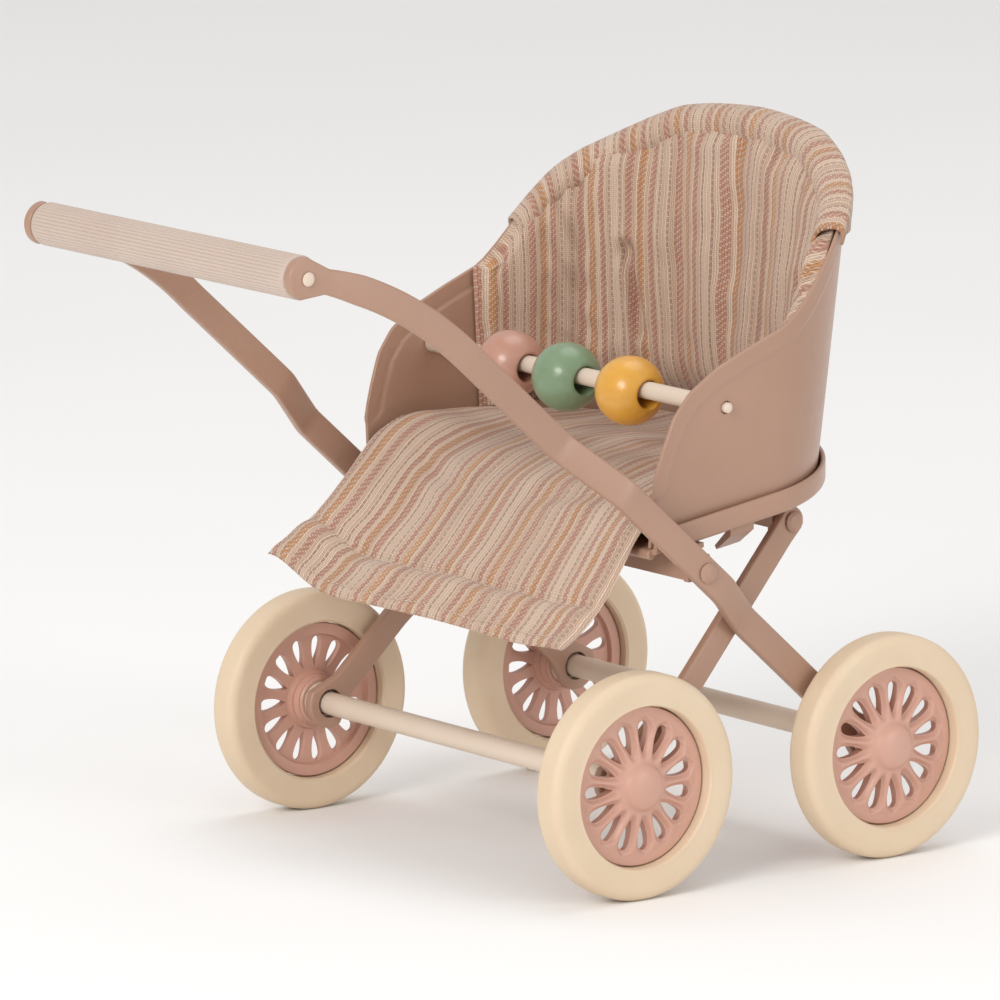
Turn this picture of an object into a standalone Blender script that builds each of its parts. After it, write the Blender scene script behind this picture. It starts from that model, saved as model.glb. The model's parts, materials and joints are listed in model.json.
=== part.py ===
"""A doll's stroller in pressed metal: a bucket seat facing the handle, on a crossed
strap frame with two wheelsets. Sizes are in millimetres and become metres when a mesh
is made. X runs across it, Y is the way it is pushed, Z is up, and the wheels stand on
Z = 0. Everything is drawn from the middle of the four wheels and moved back at the end,
so that the origin is the bottom centre of the whole."""

import math

import bmesh
import bpy
from mathutils import Matrix, Vector

MM = 0.001

# Wheels and axles
WHEEL_R = 16.0
TRACK = 75.3
WHEELBASE = 45.0
TYRE_WIDTH = 5.0
RIM_R = 11.25
HUB_HOLES = 15
CAP_R = 3.4
AXLE_R = 1.65

# Strap frame
STRAP_T = 1.5
STRAP_W = 4.2
LEG_W = 3.9
EYE_R = 3.6
EYE_INSET = 4.25
ARM_SLOPE = 0.885
ARM_TOP_X = 30.35
ARM_UPPER_X = 32.1
ARM_STEP = 3.2
ARM_STAND_OFF = 3.7
LEG_LEAN = 4.7
LEG_TOP_Y = 12.1
LEG_TOP_Z = 48.0
LEG_BEND = 0.64
FRONT_RIVET_Y = -9.5

# Rivets and the brackets that they hold
RIVET_R = 0.8
HEAD_R = 1.5
HEAD_T = 0.55
FOOT_R = 1.2
EAR_T = 1.0
TRAY_RIVET_X = 18.0

# Handle
GRIP_Y = -73.9
GRIP_Z = 91.15
GRIP_R = 3.05
GRIP_ANGLE = 10.0
GRIP_ROD_R = 0.8
FLUTES = 36
FLUTE_DEPTH = 0.14

# Seat shell and tray
SEAT_HALF = 32.9
SEAT_FLARE = 0.08
SEAT_BEND_Y = 5.8
SEAT_DEPTH = 22.4
SEAT_DEPTH_FLARE = 0.035
SEAT_FRONT_Y = -15.8
SEAT_POWER = 1.92
SEAT_POWER_RISE = 0.0098
SHEET_T = 0.7
EDGE = (
    (0.0, 57.0), (0.02, 58.9), (0.06, 61.7), (0.13, 65.8), (0.25, 69.1), (0.46, 72.1),
    (0.71, 74.4), (1.0, 76.8), (1.075, 79.6), (1.18, 84.2), (1.28, 88.4), (1.33, 90.0),
    (1.405, 91.9), (1.47, 93.2), (1.58, 95.5), (1.67, 97.4), (1.77, 99.3), (1.86, 100.1),
    (2.0, 100.8),
)
TILT = 0.15
TAB_INSET = 0.5
TAB_Y = 0.1
TAB_WIDTH = 4.2
FLOOR_Z = 49.4
TRAY_WALL = 3.3
ROLL_R = 0.75
BEAD_Y = -3.8
BEAD_Z = 66.6
BEAD_ROD_R = 1.25
TENON_R = 0.75
BEAD_R = 4.95
BEAD_BORE_R = 2.0
BEAD_X = {"bead_pink": -14.8, "bead_green": -1.8, "bead_mustard": 12.6}

# Upholstery
PAD_T = 3.4
SEAT_PAD_T = 5.4
PAD_INSET = 1.6
HOOD_T = 0.6
HOOD_Z = 88.6
FLAP_Y = -33.6
FLAP_Z = 35.6
FLAP_T = 2.6

# Fits
GAP = 0.15
SOFT_GAP = 0.3
PIN_GAP = 0.25
LEAN_GAP = 0.3
TRAY_GAP = 0.2

AXLE_Y = WHEELBASE / 2
EYE_X = TRACK / 2 - EYE_INSET
ARM_SEAT_X = max(EYE_X + ARM_STEP, SEAT_HALF + ARM_STAND_OFF)
LEG_TOP_X = EYE_X - LEG_LEAN
PAD_HALF = SEAT_HALF - PAD_INSET
PAD_FOOT_Z = FLOOR_Z + 6.0
EYE_HOLE_R = AXLE_R + 3 * GAP
SHELL_LIFT = SHEET_T + GAP
LEG_EAR_X = LEG_TOP_X - STRAP_T / 2 - GAP - LEAN_GAP / 2
CENTRE_Y = (GRIP_Y - GRIP_R + AXLE_Y + WHEEL_R) / 2
TO_X = Matrix(((0, 0, 1), (1, 0, 0), (0, 1, 0))).to_4x4()
FLAT = Matrix.Identity(4)

COLOURS = {
    "painted_frame": ((0.42, 0.27, 0.20, 1), 0.42, 0.0),
    "seat_paint": ((0.42, 0.27, 0.20, 1), 0.42, 0.0),
    "hub_plastic": ((0.52, 0.29, 0.22, 1), 0.4, 0.0),
    "tyre_rubber": ((0.78, 0.62, 0.46, 1), 0.6, 0.0),
    "rod_paint": ((0.78, 0.68, 0.57, 1), 0.45, 0.0),
    "grip_plastic": ((0.76, 0.65, 0.55, 1), 0.5, 0.0),
    "bead_pink": ((0.55, 0.28, 0.20, 1), 0.3, 0.0),
    "bead_green": ((0.19, 0.32, 0.17, 1), 0.3, 0.0),
    "bead_mustard": ((0.70, 0.36, 0.05, 1), 0.3, 0.0),
    "striped_cotton": ((0.58, 0.44, 0.31, 1), 0.9, 0.0),
    "washer_nylon": ((0.75, 0.72, 0.66, 1), 0.5, 0.0),
}


# ---------------------------------------------------------------- scene and helpers


def clear_scene():
    for old in list(bpy.data.objects):
        bpy.data.objects.remove(old, do_unlink=True)


def new_collection(name):
    made = bpy.data.collections.new(name)
    bpy.context.scene.collection.children.link(made)
    return made


def new_material(name):
    colour, roughness, metallic = COLOURS[name]
    made = bpy.data.materials.new(name)
    made.use_nodes = True
    shader = made.node_tree.nodes["Principled BSDF"]
    shader.inputs["Base Color"].default_value = colour
    shader.inputs["Roughness"].default_value = roughness
    shader.inputs["Metallic"].default_value = metallic
    return made


def add(name, mesh, slot, smooth=True):
    """A visible piece with its material; its mesh is in metres in the drawing's frame."""
    mesh.name = name
    piece = bpy.data.objects.new(name, mesh)
    PARTS.objects.link(piece)
    mesh.materials.clear()
    mesh.materials.append(MATERIALS[slot])
    if smooth:
        mesh.shade_smooth()
        mesh.set_sharp_from_angle(angle=math.radians(35))
    return piece


def add_cutter(name, mesh):
    mesh.name = name
    cutter = bpy.data.objects.new(name, mesh)
    CUTTERS.objects.link(cutter)
    cutter.hide_render = True
    cutter.display_type = "WIRE"
    return cutter


def set_origin(piece, point):
    """Moves the piece's origin to the point without moving its shape."""
    here = Vector(point) * MM
    piece.data.transform(Matrix.Translation(-here))
    piece.location = here


def boolean(piece, cutter, operation="DIFFERENCE"):
    step = piece.modifiers.new(operation.title(), "BOOLEAN")
    step.operation = operation
    step.object = cutter


def bevel(piece, width, segments=2, angle=50):
    step = piece.modifiers.new("Bevel", "BEVEL")
    step.width = width * MM
    step.segments = segments
    step.limit_method = "ANGLE"
    step.angle_limit = math.radians(angle)


def mesh_of(bm):
    mesh = bpy.data.meshes.new("made")
    bm.to_mesh(mesh)
    bm.free()
    return mesh


def box_mesh(low, high, shear=0.0):
    """A box between two corners; shear lifts it with Y, as the tray's floor rises."""
    bm = bmesh.new()
    bmesh.ops.create_cube(bm, size=1)
    size = Vector(high) - Vector(low)
    middle = (Vector(high) + Vector(low)) / 2
    for v in bm.verts:
        v.co = Vector((v.co.x * size.x, v.co.y * size.y, v.co.z * size.z)) + middle
        v.co.z += shear * v.co.y
        v.co *= MM
    return mesh_of(bm)


def rod_mesh(radius, x0, x1, y, z, segments=24):
    """A cylinder along X."""
    bm = bmesh.new()
    bmesh.ops.create_cone(
        bm, cap_ends=True, segments=segments, radius1=radius, radius2=radius, depth=x1 - x0
    )
    turn = Matrix.Rotation(math.pi / 2, 4, "Y")
    move = Matrix.Translation(((x0 + x1) / 2, y, z))
    bm.transform(Matrix.Scale(MM, 4) @ move @ turn)
    return mesh_of(bm)


def outline_mesh(loops, depth, frame=FLAT):
    """A flat outline, with holes for its further loops, extruded both ways by half the
    depth. The frame turns the drawing plane into place."""
    curve = bpy.data.curves.new("outline", "CURVE")
    curve.dimensions = "2D"
    curve.fill_mode = "BOTH"
    curve.extrude = depth * MM / 2
    for loop in loops:
        spline = curve.splines.new("POLY")
        spline.points.add(len(loop) - 1)
        for point, (u, v) in zip(spline.points, loop):
            point.co = (u * MM, v * MM, 0, 1)
        spline.use_cyclic_u = True
    guide = bpy.data.objects.new("outline", curve)
    bpy.context.scene.collection.objects.link(guide)
    graph = bpy.context.evaluated_depsgraph_get()
    mesh = bpy.data.meshes.new_from_object(guide.evaluated_get(graph))
    bpy.data.objects.remove(guide, do_unlink=True)
    bpy.data.curves.remove(curve)
    bm = bmesh.new()
    bm.from_mesh(mesh)
    bpy.data.meshes.remove(mesh)
    bmesh.ops.remove_doubles(bm, verts=bm.verts, dist=1e-6)
    bmesh.ops.recalc_face_normals(bm, faces=bm.faces)
    bm.transform(frame)
    return mesh_of(bm)


def circle(u, v, radius, count):
    turn = 2 * math.pi / count
    return [
        (u + radius * math.cos(i * turn), v + radius * math.sin(i * turn))
        for i in range(count)
    ]


def turned(name, profile, centre, slot, steps=32, closed=False, lie="X", side=1):
    """A profile of (along, radius) points, run down its outer side, turned about X, or
    about the tray's normal when lie is "TRAY". Side -1 faces it the other way."""
    bm = bmesh.new()
    verts = [bm.verts.new((r * MM, 0, a * MM)) for a, r in profile]
    for a, b in zip(verts, verts[1:]):
        bm.edges.new((a, b))
    if closed:
        bm.edges.new((verts[-1], verts[0]))
    piece = add(name, mesh_of(bm), slot, smooth=False)
    step = piece.modifiers.new("Screw", "SCREW")
    step.axis = "Z"
    step.steps = step.render_steps = steps
    step.use_merge_vertices = True
    step.merge_threshold = 1e-6
    step.use_smooth_shade = True
    piece.location = Vector(centre) * MM
    if lie == "X":
        piece.rotation_euler = (0, side * math.pi / 2, 0)
    else:
        piece.rotation_euler = (math.atan(TILT), 0, 0)
    return piece


def blend(table, at):
    """The table's value at a station, straight between its points."""
    for (a, va), (b, vb) in zip(table, table[1:]):
        if at <= b:
            return va + (vb - va) * max(0.0, at - a) / (b - a)
    return table[-1][1]


# ---------------------------------------------------------------- wheels and axles


def tyre_profile():
    """A round section, flattened where it sits on the rim."""
    inner = RIM_R + GAP
    middle, half = (WHEEL_R + inner) / 2, (WHEEL_R - inner) / 2
    flat = 1.7
    points = [(flat, inner)]
    for i in range(9):
        a = math.radians(25 + 38.75 * i)
        points.append((TYRE_WIDTH / 2 * math.sin(a), middle - half * math.cos(a)))
    points = [p for p in points[1:] if p[1] > inner + 0.35]
    return [(flat, inner)] + points + [(-flat, inner)]


def hub_profile():
    """The hub from its cap down the outer face, round the rim, back up the inner face
    and into the blind bore for the axle."""
    dome = [(1.9 + 1.25 * math.cos(a), CAP_R * math.sin(a)) for a in (0, 0.6, 1.2)]
    outer = [(1.25, CAP_R + 0.3), (0.75, 9.6), (0.75, RIM_R)]
    inner = [(-0.75, RIM_R), (-0.7, 9.6), (-1.2, 4.4), (-2.3, 2.9)]
    bore = AXLE_R + GAP
    return dome + outer + inner + [(-2.3, bore), (1.4, bore), (1.4, 0)]


def teardrop(inner_r, outer_r, half_width, count=6):
    """A hole that is pointed towards the hub's centre and round towards its rim."""
    centre = outer_r - half_width
    start = math.acos(half_width / (centre - inner_r))
    points = [(inner_r, 0.0)]
    for i in range(count):
        a = -(math.pi - start) + 2 * (math.pi - start) * i / (count - 1)
        points.append((centre + half_width * math.cos(a), half_width * math.sin(a)))
    return points


def hub_cutter(x, y):
    """All the teardrop holes of one wheel."""
    drop = teardrop(4.7, 9.2, 0.98)
    bm = bmesh.new()
    one = outline_mesh([drop], 8.0, TO_X)
    for i in range(HUB_HOLES):
        start = len(bm.verts)
        bm.from_mesh(one)
        bm.verts.ensure_lookup_table()
        turn = Matrix.Rotation(2 * math.pi * (i + 0.25) / HUB_HOLES, 4, "X")
        bmesh.ops.transform(bm, matrix=turn, verts=bm.verts[start:])
    bm.transform(Matrix.Translation(Vector((x, y, WHEEL_R)) * MM))
    bpy.data.meshes.remove(one)
    return add_cutter("hub_holes", mesh_of(bm))


def build_wheelset(end, y):
    centre_x = TRACK / 2
    axle = add(f"{end}_axle", rod_mesh(AXLE_R, -centre_x - 1.2, centre_x + 1.2, y, WHEEL_R),
               "rod_paint")
    set_origin(axle, (0, y, WHEEL_R))
    for hand, side in SIDES:
        centre = (side * centre_x, y, WHEEL_R)
        hub = turned(f"{end}_hub_{hand}", hub_profile(), centre, "hub_plastic",
                     steps=30, side=side)
        boolean(hub, hub_cutter(side * centre_x, y))
        turned(f"{end}_tyre_{hand}", tyre_profile(), centre, "tyre_rubber",
               steps=32, closed=True, side=side)
        inner = EYE_X + STRAP_T / 2 + GAP - centre_x
        washer = [(-2.3 - GAP, AXLE_R + GAP), (-2.3 - GAP, 2.8), (inner, 2.8),
                  (inner, AXLE_R + GAP)]
        turned(f"{end}_washer_{hand}", washer, centre, "washer_nylon", steps=16,
               closed=True, side=side)


# ---------------------------------------------------------------- strap frame


def arm_path():
    """The arm's centre line seen from the side: at(s) gives the point and its direction
    at a distance from the grip. It is straight up to the handle's bend, an arc through
    the bend, and straight again beyond the grip's centre."""
    slope = math.atan(ARM_SLOPE)
    along = Vector((math.cos(slope), -math.sin(slope)))
    across = Vector((math.sin(slope), math.cos(slope)))
    grip, axle = Vector((GRIP_Y, GRIP_Z)), Vector((AXLE_Y, WHEEL_R))
    drop = (axle - grip).dot(across)
    turn = slope - math.radians(GRIP_ANGLE)
    radius = drop / (1 - math.cos(turn))
    bend_end = grip + across * drop + along * radius * math.sin(turn)
    centre = bend_end - across * radius
    arc = radius * turn
    length = arc + (axle - bend_end).length

    def at(s):
        if s >= arc:
            return bend_end + along * (s - arc), along
        angle = slope - (arc - max(s, 0)) / radius
        ray = Vector((math.sin(angle), math.cos(angle)))
        direction = Vector((math.cos(angle), -math.sin(angle)))
        return centre + ray * radius + direction * min(s, 0), direction

    return at, length


def leg_path():
    top, axle = Vector((LEG_TOP_Y, LEG_TOP_Z)), Vector((-AXLE_Y, WHEEL_R))
    along = (axle - top).normalized()
    length = (axle - top).length

    def at(s):
        return top + along * s, along

    return at, length


def strap_outline(at, length, start_r, end_r, half, neck):
    """A strap with a round end of its own radius at each hole, seen from the side."""
    stations = [(-start_r * math.cos(a), start_r * math.sin(a)) for a in arc_steps(start_r, neck)]
    stations += [(start_r * 1.25, neck), (start_r * 3, half)]
    stations += [(start_r * 3 + 4 * i, half) for i in range(1, 7)]
    stations += [(length - end_r * 1.3, half * 1.04)]
    stations += [(length + end_r * math.cos(a), end_r * math.sin(a))
                 for a in reversed(arc_steps(end_r, half * 1.2))]
    left, right = [], []
    for s, w in stations:
        point, direction = at(s)
        normal = Vector((-direction.y, direction.x))
        left.append(tuple(point + normal * w))
        if w > 1e-6:
            right.append(tuple(point - normal * w))
    return left + right[::-1]


def arc_steps(radius, neck, count=7):
    """Angles round a strap's end, from its tip to where the strap's own width takes over."""
    last = math.pi - math.asin(min(1.0, neck / radius))
    return [last * i / (count - 1) for i in range(count)]


def joggled(mesh, at, offsets):
    """Folds a flat strap across its width, so that it steps sideways: offsets is a table
    of (distance along the strap, X)."""
    bm = bmesh.new()
    bm.from_mesh(mesh)
    bpy.data.meshes.remove(mesh)
    for s, _ in offsets[1:-1]:
        point, direction = at(s)
        bmesh.ops.bisect_plane(
            bm, geom=bm.verts[:] + bm.edges[:] + bm.faces[:], dist=1e-7,
            plane_co=Vector((0, point.x, point.y)) * MM,
            plane_no=Vector((0, direction.x, direction.y)),
        )
    far = max(s for s, _ in offsets)
    steps = [i * far / 400 for i in range(401)]
    line = [(s, *at(s)) for s in steps]
    for v in bm.verts:
        here = Vector((v.co.y, v.co.z)) / MM
        s = min(line, key=lambda item: (item[1] - here).length_squared)
        exact = s[0] + (here - s[1]).dot(s[2])
        v.co.x += blend(offsets, exact) * MM
    return mesh_of(bm)


def mirrored(mesh):
    """The same mesh for the other side."""
    bm = bmesh.new()
    bm.from_mesh(mesh)
    bm.transform(Matrix.Scale(-1, 4, (1, 0, 0)))
    bmesh.ops.reverse_faces(bm, faces=bm.faces)
    return mesh_of(bm)


def build_straps():
    at, length = arm_path()
    outline = strap_outline(at, length, GRIP_R, EYE_R, STRAP_W / 2, 1.75)
    hole_grip = circle(GRIP_Y, GRIP_Z, GRIP_ROD_R + GAP, 12)
    hole_axle = circle(AXLE_Y, WHEEL_R, EYE_HOLE_R, 20)
    rivet_s = length - (AXLE_Y - FRONT_RIVET_Y) / math.cos(math.atan(ARM_SLOPE))
    rivet, _ = at(rivet_s)
    hole_rivet = circle(rivet.x, rivet.y, RIVET_R + GAP, 12)
    flat = outline_mesh([outline, hole_grip, hole_axle, hole_rivet], STRAP_T, TO_X)
    offsets = [(0.0, ARM_TOP_X), (30.0, ARM_UPPER_X), (rivet_s - 29.0, ARM_UPPER_X),
               (rivet_s - 19.0, ARM_SEAT_X), (rivet_s + 4.6, ARM_SEAT_X),
               (rivet_s + 12.6, EYE_X), (length, EYE_X)]
    arm = joggled(flat, at, offsets)

    at_leg, leg_length = leg_path()
    outline = strap_outline(at_leg, leg_length, LEG_W / 2 + 0.15, EYE_R, LEG_W / 2, LEG_W / 2)
    hole_top = circle(LEG_TOP_Y, LEG_TOP_Z, RIVET_R + GAP, 12)
    hole_axle = circle(-AXLE_Y, WHEEL_R, EYE_HOLE_R, 20)
    flat = outline_mesh([outline, hole_top, hole_axle], STRAP_T, TO_X)
    offsets = [(0.0, LEG_TOP_X), (leg_length * LEG_BEND, EYE_X), (leg_length, EYE_X)]
    leg = joggled(flat, at_leg, offsets)

    for hand, side in SIDES:
        for name, mesh in (("arm", arm), ("leg", leg)):
            own = mesh.copy() if side > 0 else mirrored(mesh)
            bevel(add(f"{name}_{hand}", own, "painted_frame"), 0.32, segments=1)
    for mesh in (arm, leg):
        bpy.data.meshes.remove(mesh)
    return rivet


def rivet_profile(grip_length):
    """A round-headed rivet standing on the plane at 0, its shank running down to a
    flattened head below what it holds."""
    top = [(HEAD_T * math.cos(a) + GAP, HEAD_R * math.sin(a)) for a in (0, 0.75, 1.35)]
    foot = -grip_length - GAP
    return top + [(GAP, HEAD_R), (GAP, RIVET_R), (foot, RIVET_R), (foot, FOOT_R),
                  (foot - HEAD_T, FOOT_R * 0.8), (foot - HEAD_T, 0)]


def build_rivets(arm_rivet):
    face = ARM_SEAT_X + STRAP_T / 2
    grip = face - (ARM_SEAT_X - STRAP_T / 2 - GAP - EAR_T)
    leg_face = LEG_TOP_X + STRAP_T / 2 + LEAN_GAP
    leg_grip = leg_face - (LEG_EAR_X - EAR_T)
    for hand, side in SIDES:
        turned(f"arm_rivet_{hand}", rivet_profile(grip), (side * face, arm_rivet.x, arm_rivet.y),
               "painted_frame", steps=14, side=side)
        turned(f"leg_rivet_{hand}", rivet_profile(leg_grip),
               (side * leg_face, LEG_TOP_Y, LEG_TOP_Z), "painted_frame", steps=14,
               side=side)


def build_brackets(arm_rivet):
    """Two channels under the tray whose turned-down ears carry the arms and the legs."""
    plate_top = FLOOR_Z - GAP
    plate_low = plate_top - SHEET_T
    ear_out = ARM_SEAT_X - STRAP_T / 2 - GAP
    y0, y1 = FRONT_RIVET_Y - 2.2, FRONT_RIVET_Y + 1.6
    web_low, ear_top = arm_rivet.y - 1.1, plate_low - 0.4 + TILT * y0
    plate_x = ear_out - EAR_T - 0.3
    front = [
        ((-plate_x, y0, web_low), (plate_x, y0 + SHEET_T, plate_low + 0.4 + TILT * y0)),
        ((-ear_out, y0, web_low), (ear_out, y0 + SHEET_T, ear_top)),
        ((ear_out - EAR_T, y0, web_low - 0.2), (ear_out, y1, ear_top + 0.2)),
        ((-ear_out, y0, web_low - 0.2), (EAR_T - ear_out, y1, ear_top + 0.2)),
    ]
    plate = ((-plate_x, y0, plate_low), (plate_x, y1, plate_top))
    build_bracket("front_bracket", plate, front, arm_rivet.x, arm_rivet.y)

    ear_out = LEG_EAR_X
    y0, y1 = LEG_TOP_Y - 2.2, LEG_TOP_Y + 2.2
    ear_low = LEG_TOP_Z - 2.0
    rear = [
        ((-ear_out, y0, ear_low + 1.0), (ear_out, y0 + SHEET_T, plate_low + 0.4 + TILT * y0)),
        ((ear_out - EAR_T, y0, ear_low), (ear_out, y1, plate_low + 0.1 + TILT * y1)),
        ((-ear_out, y0, ear_low), (EAR_T - ear_out, y1, plate_low + 0.1 + TILT * y1)),
    ]
    plate = ((-ear_out, y0, plate_low), (ear_out, y1, plate_top))
    build_bracket("rear_bracket", plate, rear, LEG_TOP_Y, LEG_TOP_Z)


def build_bracket(name, plate, boxes, hole_y, hole_z):
    piece = add(name, box_mesh(*plate, shear=TILT), "painted_frame", smooth=False)
    for i, (low, high) in enumerate(boxes):
        boolean(piece, add_cutter(f"{name}_wall_{i}", box_mesh(low, high)), "UNION")
    hole = rod_mesh(RIVET_R + GAP, -TRACK, TRACK, hole_y, hole_z, 12)
    boolean(piece, add_cutter(f"{name}_hole", hole))
    for x in (-TRAY_RIVET_X, TRAY_RIVET_X):
        boolean(piece, tray_rivet_cutter(name, x, hole_y))


def tray_rivet_cutter(name, x, y):
    bm = bmesh.new()
    radius = RIVET_R + GAP
    bmesh.ops.create_cone(bm, cap_ends=True, segments=12, radius1=radius, radius2=radius, depth=6)
    turn = Matrix.Rotation(math.atan(TILT), 4, "X")
    bm.transform(Matrix.Scale(MM, 4) @ Matrix.Translation((x, y, FLOOR_Z + TILT * y)) @ turn)
    return add_cutter(f"{name}_rivet_hole", mesh_of(bm))


# ---------------------------------------------------------------- handle


def build_handle():
    inner = ARM_TOP_X - STRAP_T / 2 - GAP
    loop = []
    for i in range(FLUTES):
        for j, depth in enumerate((0.0, 0.0, FLUTE_DEPTH)):
            a = 2 * math.pi * (i + (0.12, 0.62, 0.87)[j]) / FLUTES
            r = GRIP_R - depth
            loop.append((GRIP_Y + r * math.cos(a), GRIP_Z + r * math.sin(a)))
    bore = circle(GRIP_Y, GRIP_Z, GRIP_ROD_R + GAP, 12)
    add("grip_sleeve", outline_mesh([loop, bore], 2 * inner, TO_X), "grip_plastic", smooth=False)
    face = ARM_TOP_X + STRAP_T / 2
    head = [(face + GAP + 0.35, 0), (face + GAP + 0.3, 0.6), (face + GAP + 0.1, 0.95),
            (face + GAP, 1.0), (face + GAP, GRIP_ROD_R)]
    profile = head + [(-a, r) for a, r in reversed(head)]
    turned("grip_rod", profile, (0, GRIP_Y, GRIP_Z), "painted_frame", steps=16)


# ---------------------------------------------------------------- seat


def seat_plan(t, z, inset):
    """A point of the seat's horizontal section: t runs from the front of a side (0) to
    the start of the bend (1) and on to the middle of the back (2)."""
    rise = z - FLOOR_Z - SHELL_LIFT
    half = SEAT_HALF + SEAT_FLARE * rise - inset
    depth = SEAT_DEPTH + SEAT_DEPTH_FLARE * rise - inset
    if t <= 1:
        return half, SEAT_FRONT_Y + (SEAT_BEND_Y - SEAT_FRONT_Y) * t
    a = math.radians(90 * (t - 1))
    power = 2 / (SEAT_POWER + SEAT_POWER_RISE * rise)
    x = 0.0 if t >= 2 else half * math.cos(a) ** power
    return x, SEAT_BEND_Y + depth * math.sin(a) ** power


def half_sheet(name, stations, rows, point, slot, thickness, edge_bevel=0.0):
    """An open half surface mirrored at X = 0 and thickened inwards."""
    bm = bmesh.new()
    grid = [[bm.verts.new(Vector(point(t, i)) * MM) for i in range(rows)] for t in stations]
    for a, b in zip(grid, grid[1:]):
        for i in range(rows - 1):
            bm.faces.new((a[i], b[i], b[i + 1], a[i + 1]))
    piece = add(name, mesh_of(bm), slot)
    mirror = piece.modifiers.new("Mirror", "MIRROR")
    mirror.merge_threshold = 1e-6
    solid = piece.modifiers.new("Solidify", "SOLIDIFY")
    solid.thickness = thickness * MM
    solid.offset = -1
    if edge_bevel:
        bevel(piece, edge_bevel, segments=1, angle=60)
    return piece


def build_shell():
    stations = [0.0, 0.02, 0.06, 0.13, 0.25, 0.46, 0.71, 1.0]
    stations += [1.0 + i / 12 for i in range(1, 13)]
    rows = 6

    def point(t, i):
        top = blend(EDGE, t)
        foot = FLOOR_Z + SHELL_LIFT + TILT * seat_plan(t, FLOOR_Z, 0)[1]
        z = foot + (top - foot) * i / (rows - 1)
        x, y = seat_plan(t, z, 0)
        return x, y, z

    shell = half_sheet("seat_shell", stations, rows, point, "seat_paint", SHEET_T)
    hole = rod_mesh(TENON_R + PIN_GAP, -TRACK, TRACK, BEAD_Y, BEAD_Z, 16)
    boolean(shell, add_cutter("bead_rod_holes", hole))


def plan_outline(inset, front_y, steps=12):
    """The whole section at the tray's lip, closed across the front."""
    half = []
    for i in range(steps + 1):
        t = 1 + i / steps
        lip = FLOOR_Z + TRAY_WALL + TILT * seat_plan(t, FLOOR_Z, 0)[1]
        half.append(seat_plan(t, lip, inset))
    left = [(-x, y) for x, y in reversed(half[:-1])]
    width = half[0][0]
    return [(width, front_y)] + half + left + [(-width, front_y)]


def sheared_prism(loop, low, high):
    mesh = outline_mesh([loop], high - low)
    for v in mesh.vertices:
        v.co.z += (low + high) / 2 * MM + TILT * v.co.y
    return mesh


def build_tray():
    outer = plan_outline(-TRAY_GAP - SHEET_T, SEAT_FRONT_Y - 0.2)
    inner = plan_outline(-TRAY_GAP, SEAT_FRONT_Y - 3)
    tray = add("seat_tray", sheared_prism(outer, FLOOR_Z, FLOOR_Z + TRAY_WALL), "seat_paint")
    cavity = sheared_prism(inner, FLOOR_Z + SHEET_T, FLOOR_Z + TRAY_WALL + 2)
    boolean(tray, add_cutter("tray_cavity", cavity))
    roll_y = SEAT_FRONT_Y - 0.1
    roll_z = FLOOR_Z + TILT * roll_y + SHEET_T - ROLL_R
    roll = rod_mesh(ROLL_R, -SEAT_HALF, SEAT_HALF, roll_y, roll_z, 14)
    boolean(tray, add_cutter("tray_roll", roll), "UNION")
    for x in (-TRAY_RIVET_X, TRAY_RIVET_X):
        for y in (FRONT_RIVET_Y, LEG_TOP_Y):
            boolean(tray, tray_rivet_cutter("tray", x, y))


def build_tray_rivets():
    place = (("front", FRONT_RIVET_Y), ("rear", LEG_TOP_Y))
    for end, y in place:
        for hand, side in SIDES:
            top = FLOOR_Z + SHEET_T + TILT * y
            turned(f"tray_rivet_{end}_{hand}", rivet_profile(2 * SHEET_T + GAP),
                   (side * TRAY_RIVET_X, y, top), "painted_frame", steps=10, lie="TRAY")


def build_tabs():
    """The shell's tongues, folded over beneath the tray's floor."""
    for hand, side in SIDES:
        loop = [(0.0, -GAP), (-2.9, -2.9), (-2.5, -3.4), (0.6, -1.1), (0.6, -GAP)]
        mesh = outline_mesh([[(side * u, v) for u, v in loop]], TAB_WIDTH)
        turn = Matrix.Rotation(math.pi / 2, 4, "X")
        mesh.transform(Matrix.Translation(Vector((side * (SEAT_HALF - TAB_INSET), TAB_Y, FLOOR_Z)) * MM) @ turn)
        for v in mesh.vertices:
            v.co.z += TILT * v.co.y
        add(f"shell_tab_{hand}", mesh, "seat_paint", smooth=False)


def build_bead_rail():
    wall = SEAT_HALF + SEAT_FLARE * (BEAD_Z - FLOOR_Z - SHELL_LIFT)
    face = wall + GAP + 0.1
    shoulder = wall - SHEET_T - GAP - 0.2
    head = [(face + 0.4, 0), (face + 0.3, 0.6), (face, TENON_R + 0.4), (face, TENON_R),
            (shoulder, TENON_R), (shoulder, BEAD_ROD_R)]
    profile = head + [(-a, r) for a, r in reversed(head)]
    turned("bead_rod", profile, (0, BEAD_Y, BEAD_Z), "rod_paint", steps=20)
    drop = BEAD_BORE_R - BEAD_ROD_R - GAP
    edge = math.asin((BEAD_BORE_R + 0.25) / BEAD_R)
    count = 9
    for name, x in BEAD_X.items():
        arc = [edge + (math.pi - 2 * edge) * i / (count - 1) for i in range(count)]
        ball = [(BEAD_R * math.cos(a), BEAD_R * math.sin(a)) for a in arc]
        end = ball[0][0] - 0.2
        profile = ball + [(-end, BEAD_BORE_R), (end, BEAD_BORE_R)]
        turned(name, profile, (x, BEAD_Y, BEAD_Z - drop), name, steps=20, closed=True)


# ---------------------------------------------------------------- upholstery


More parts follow.
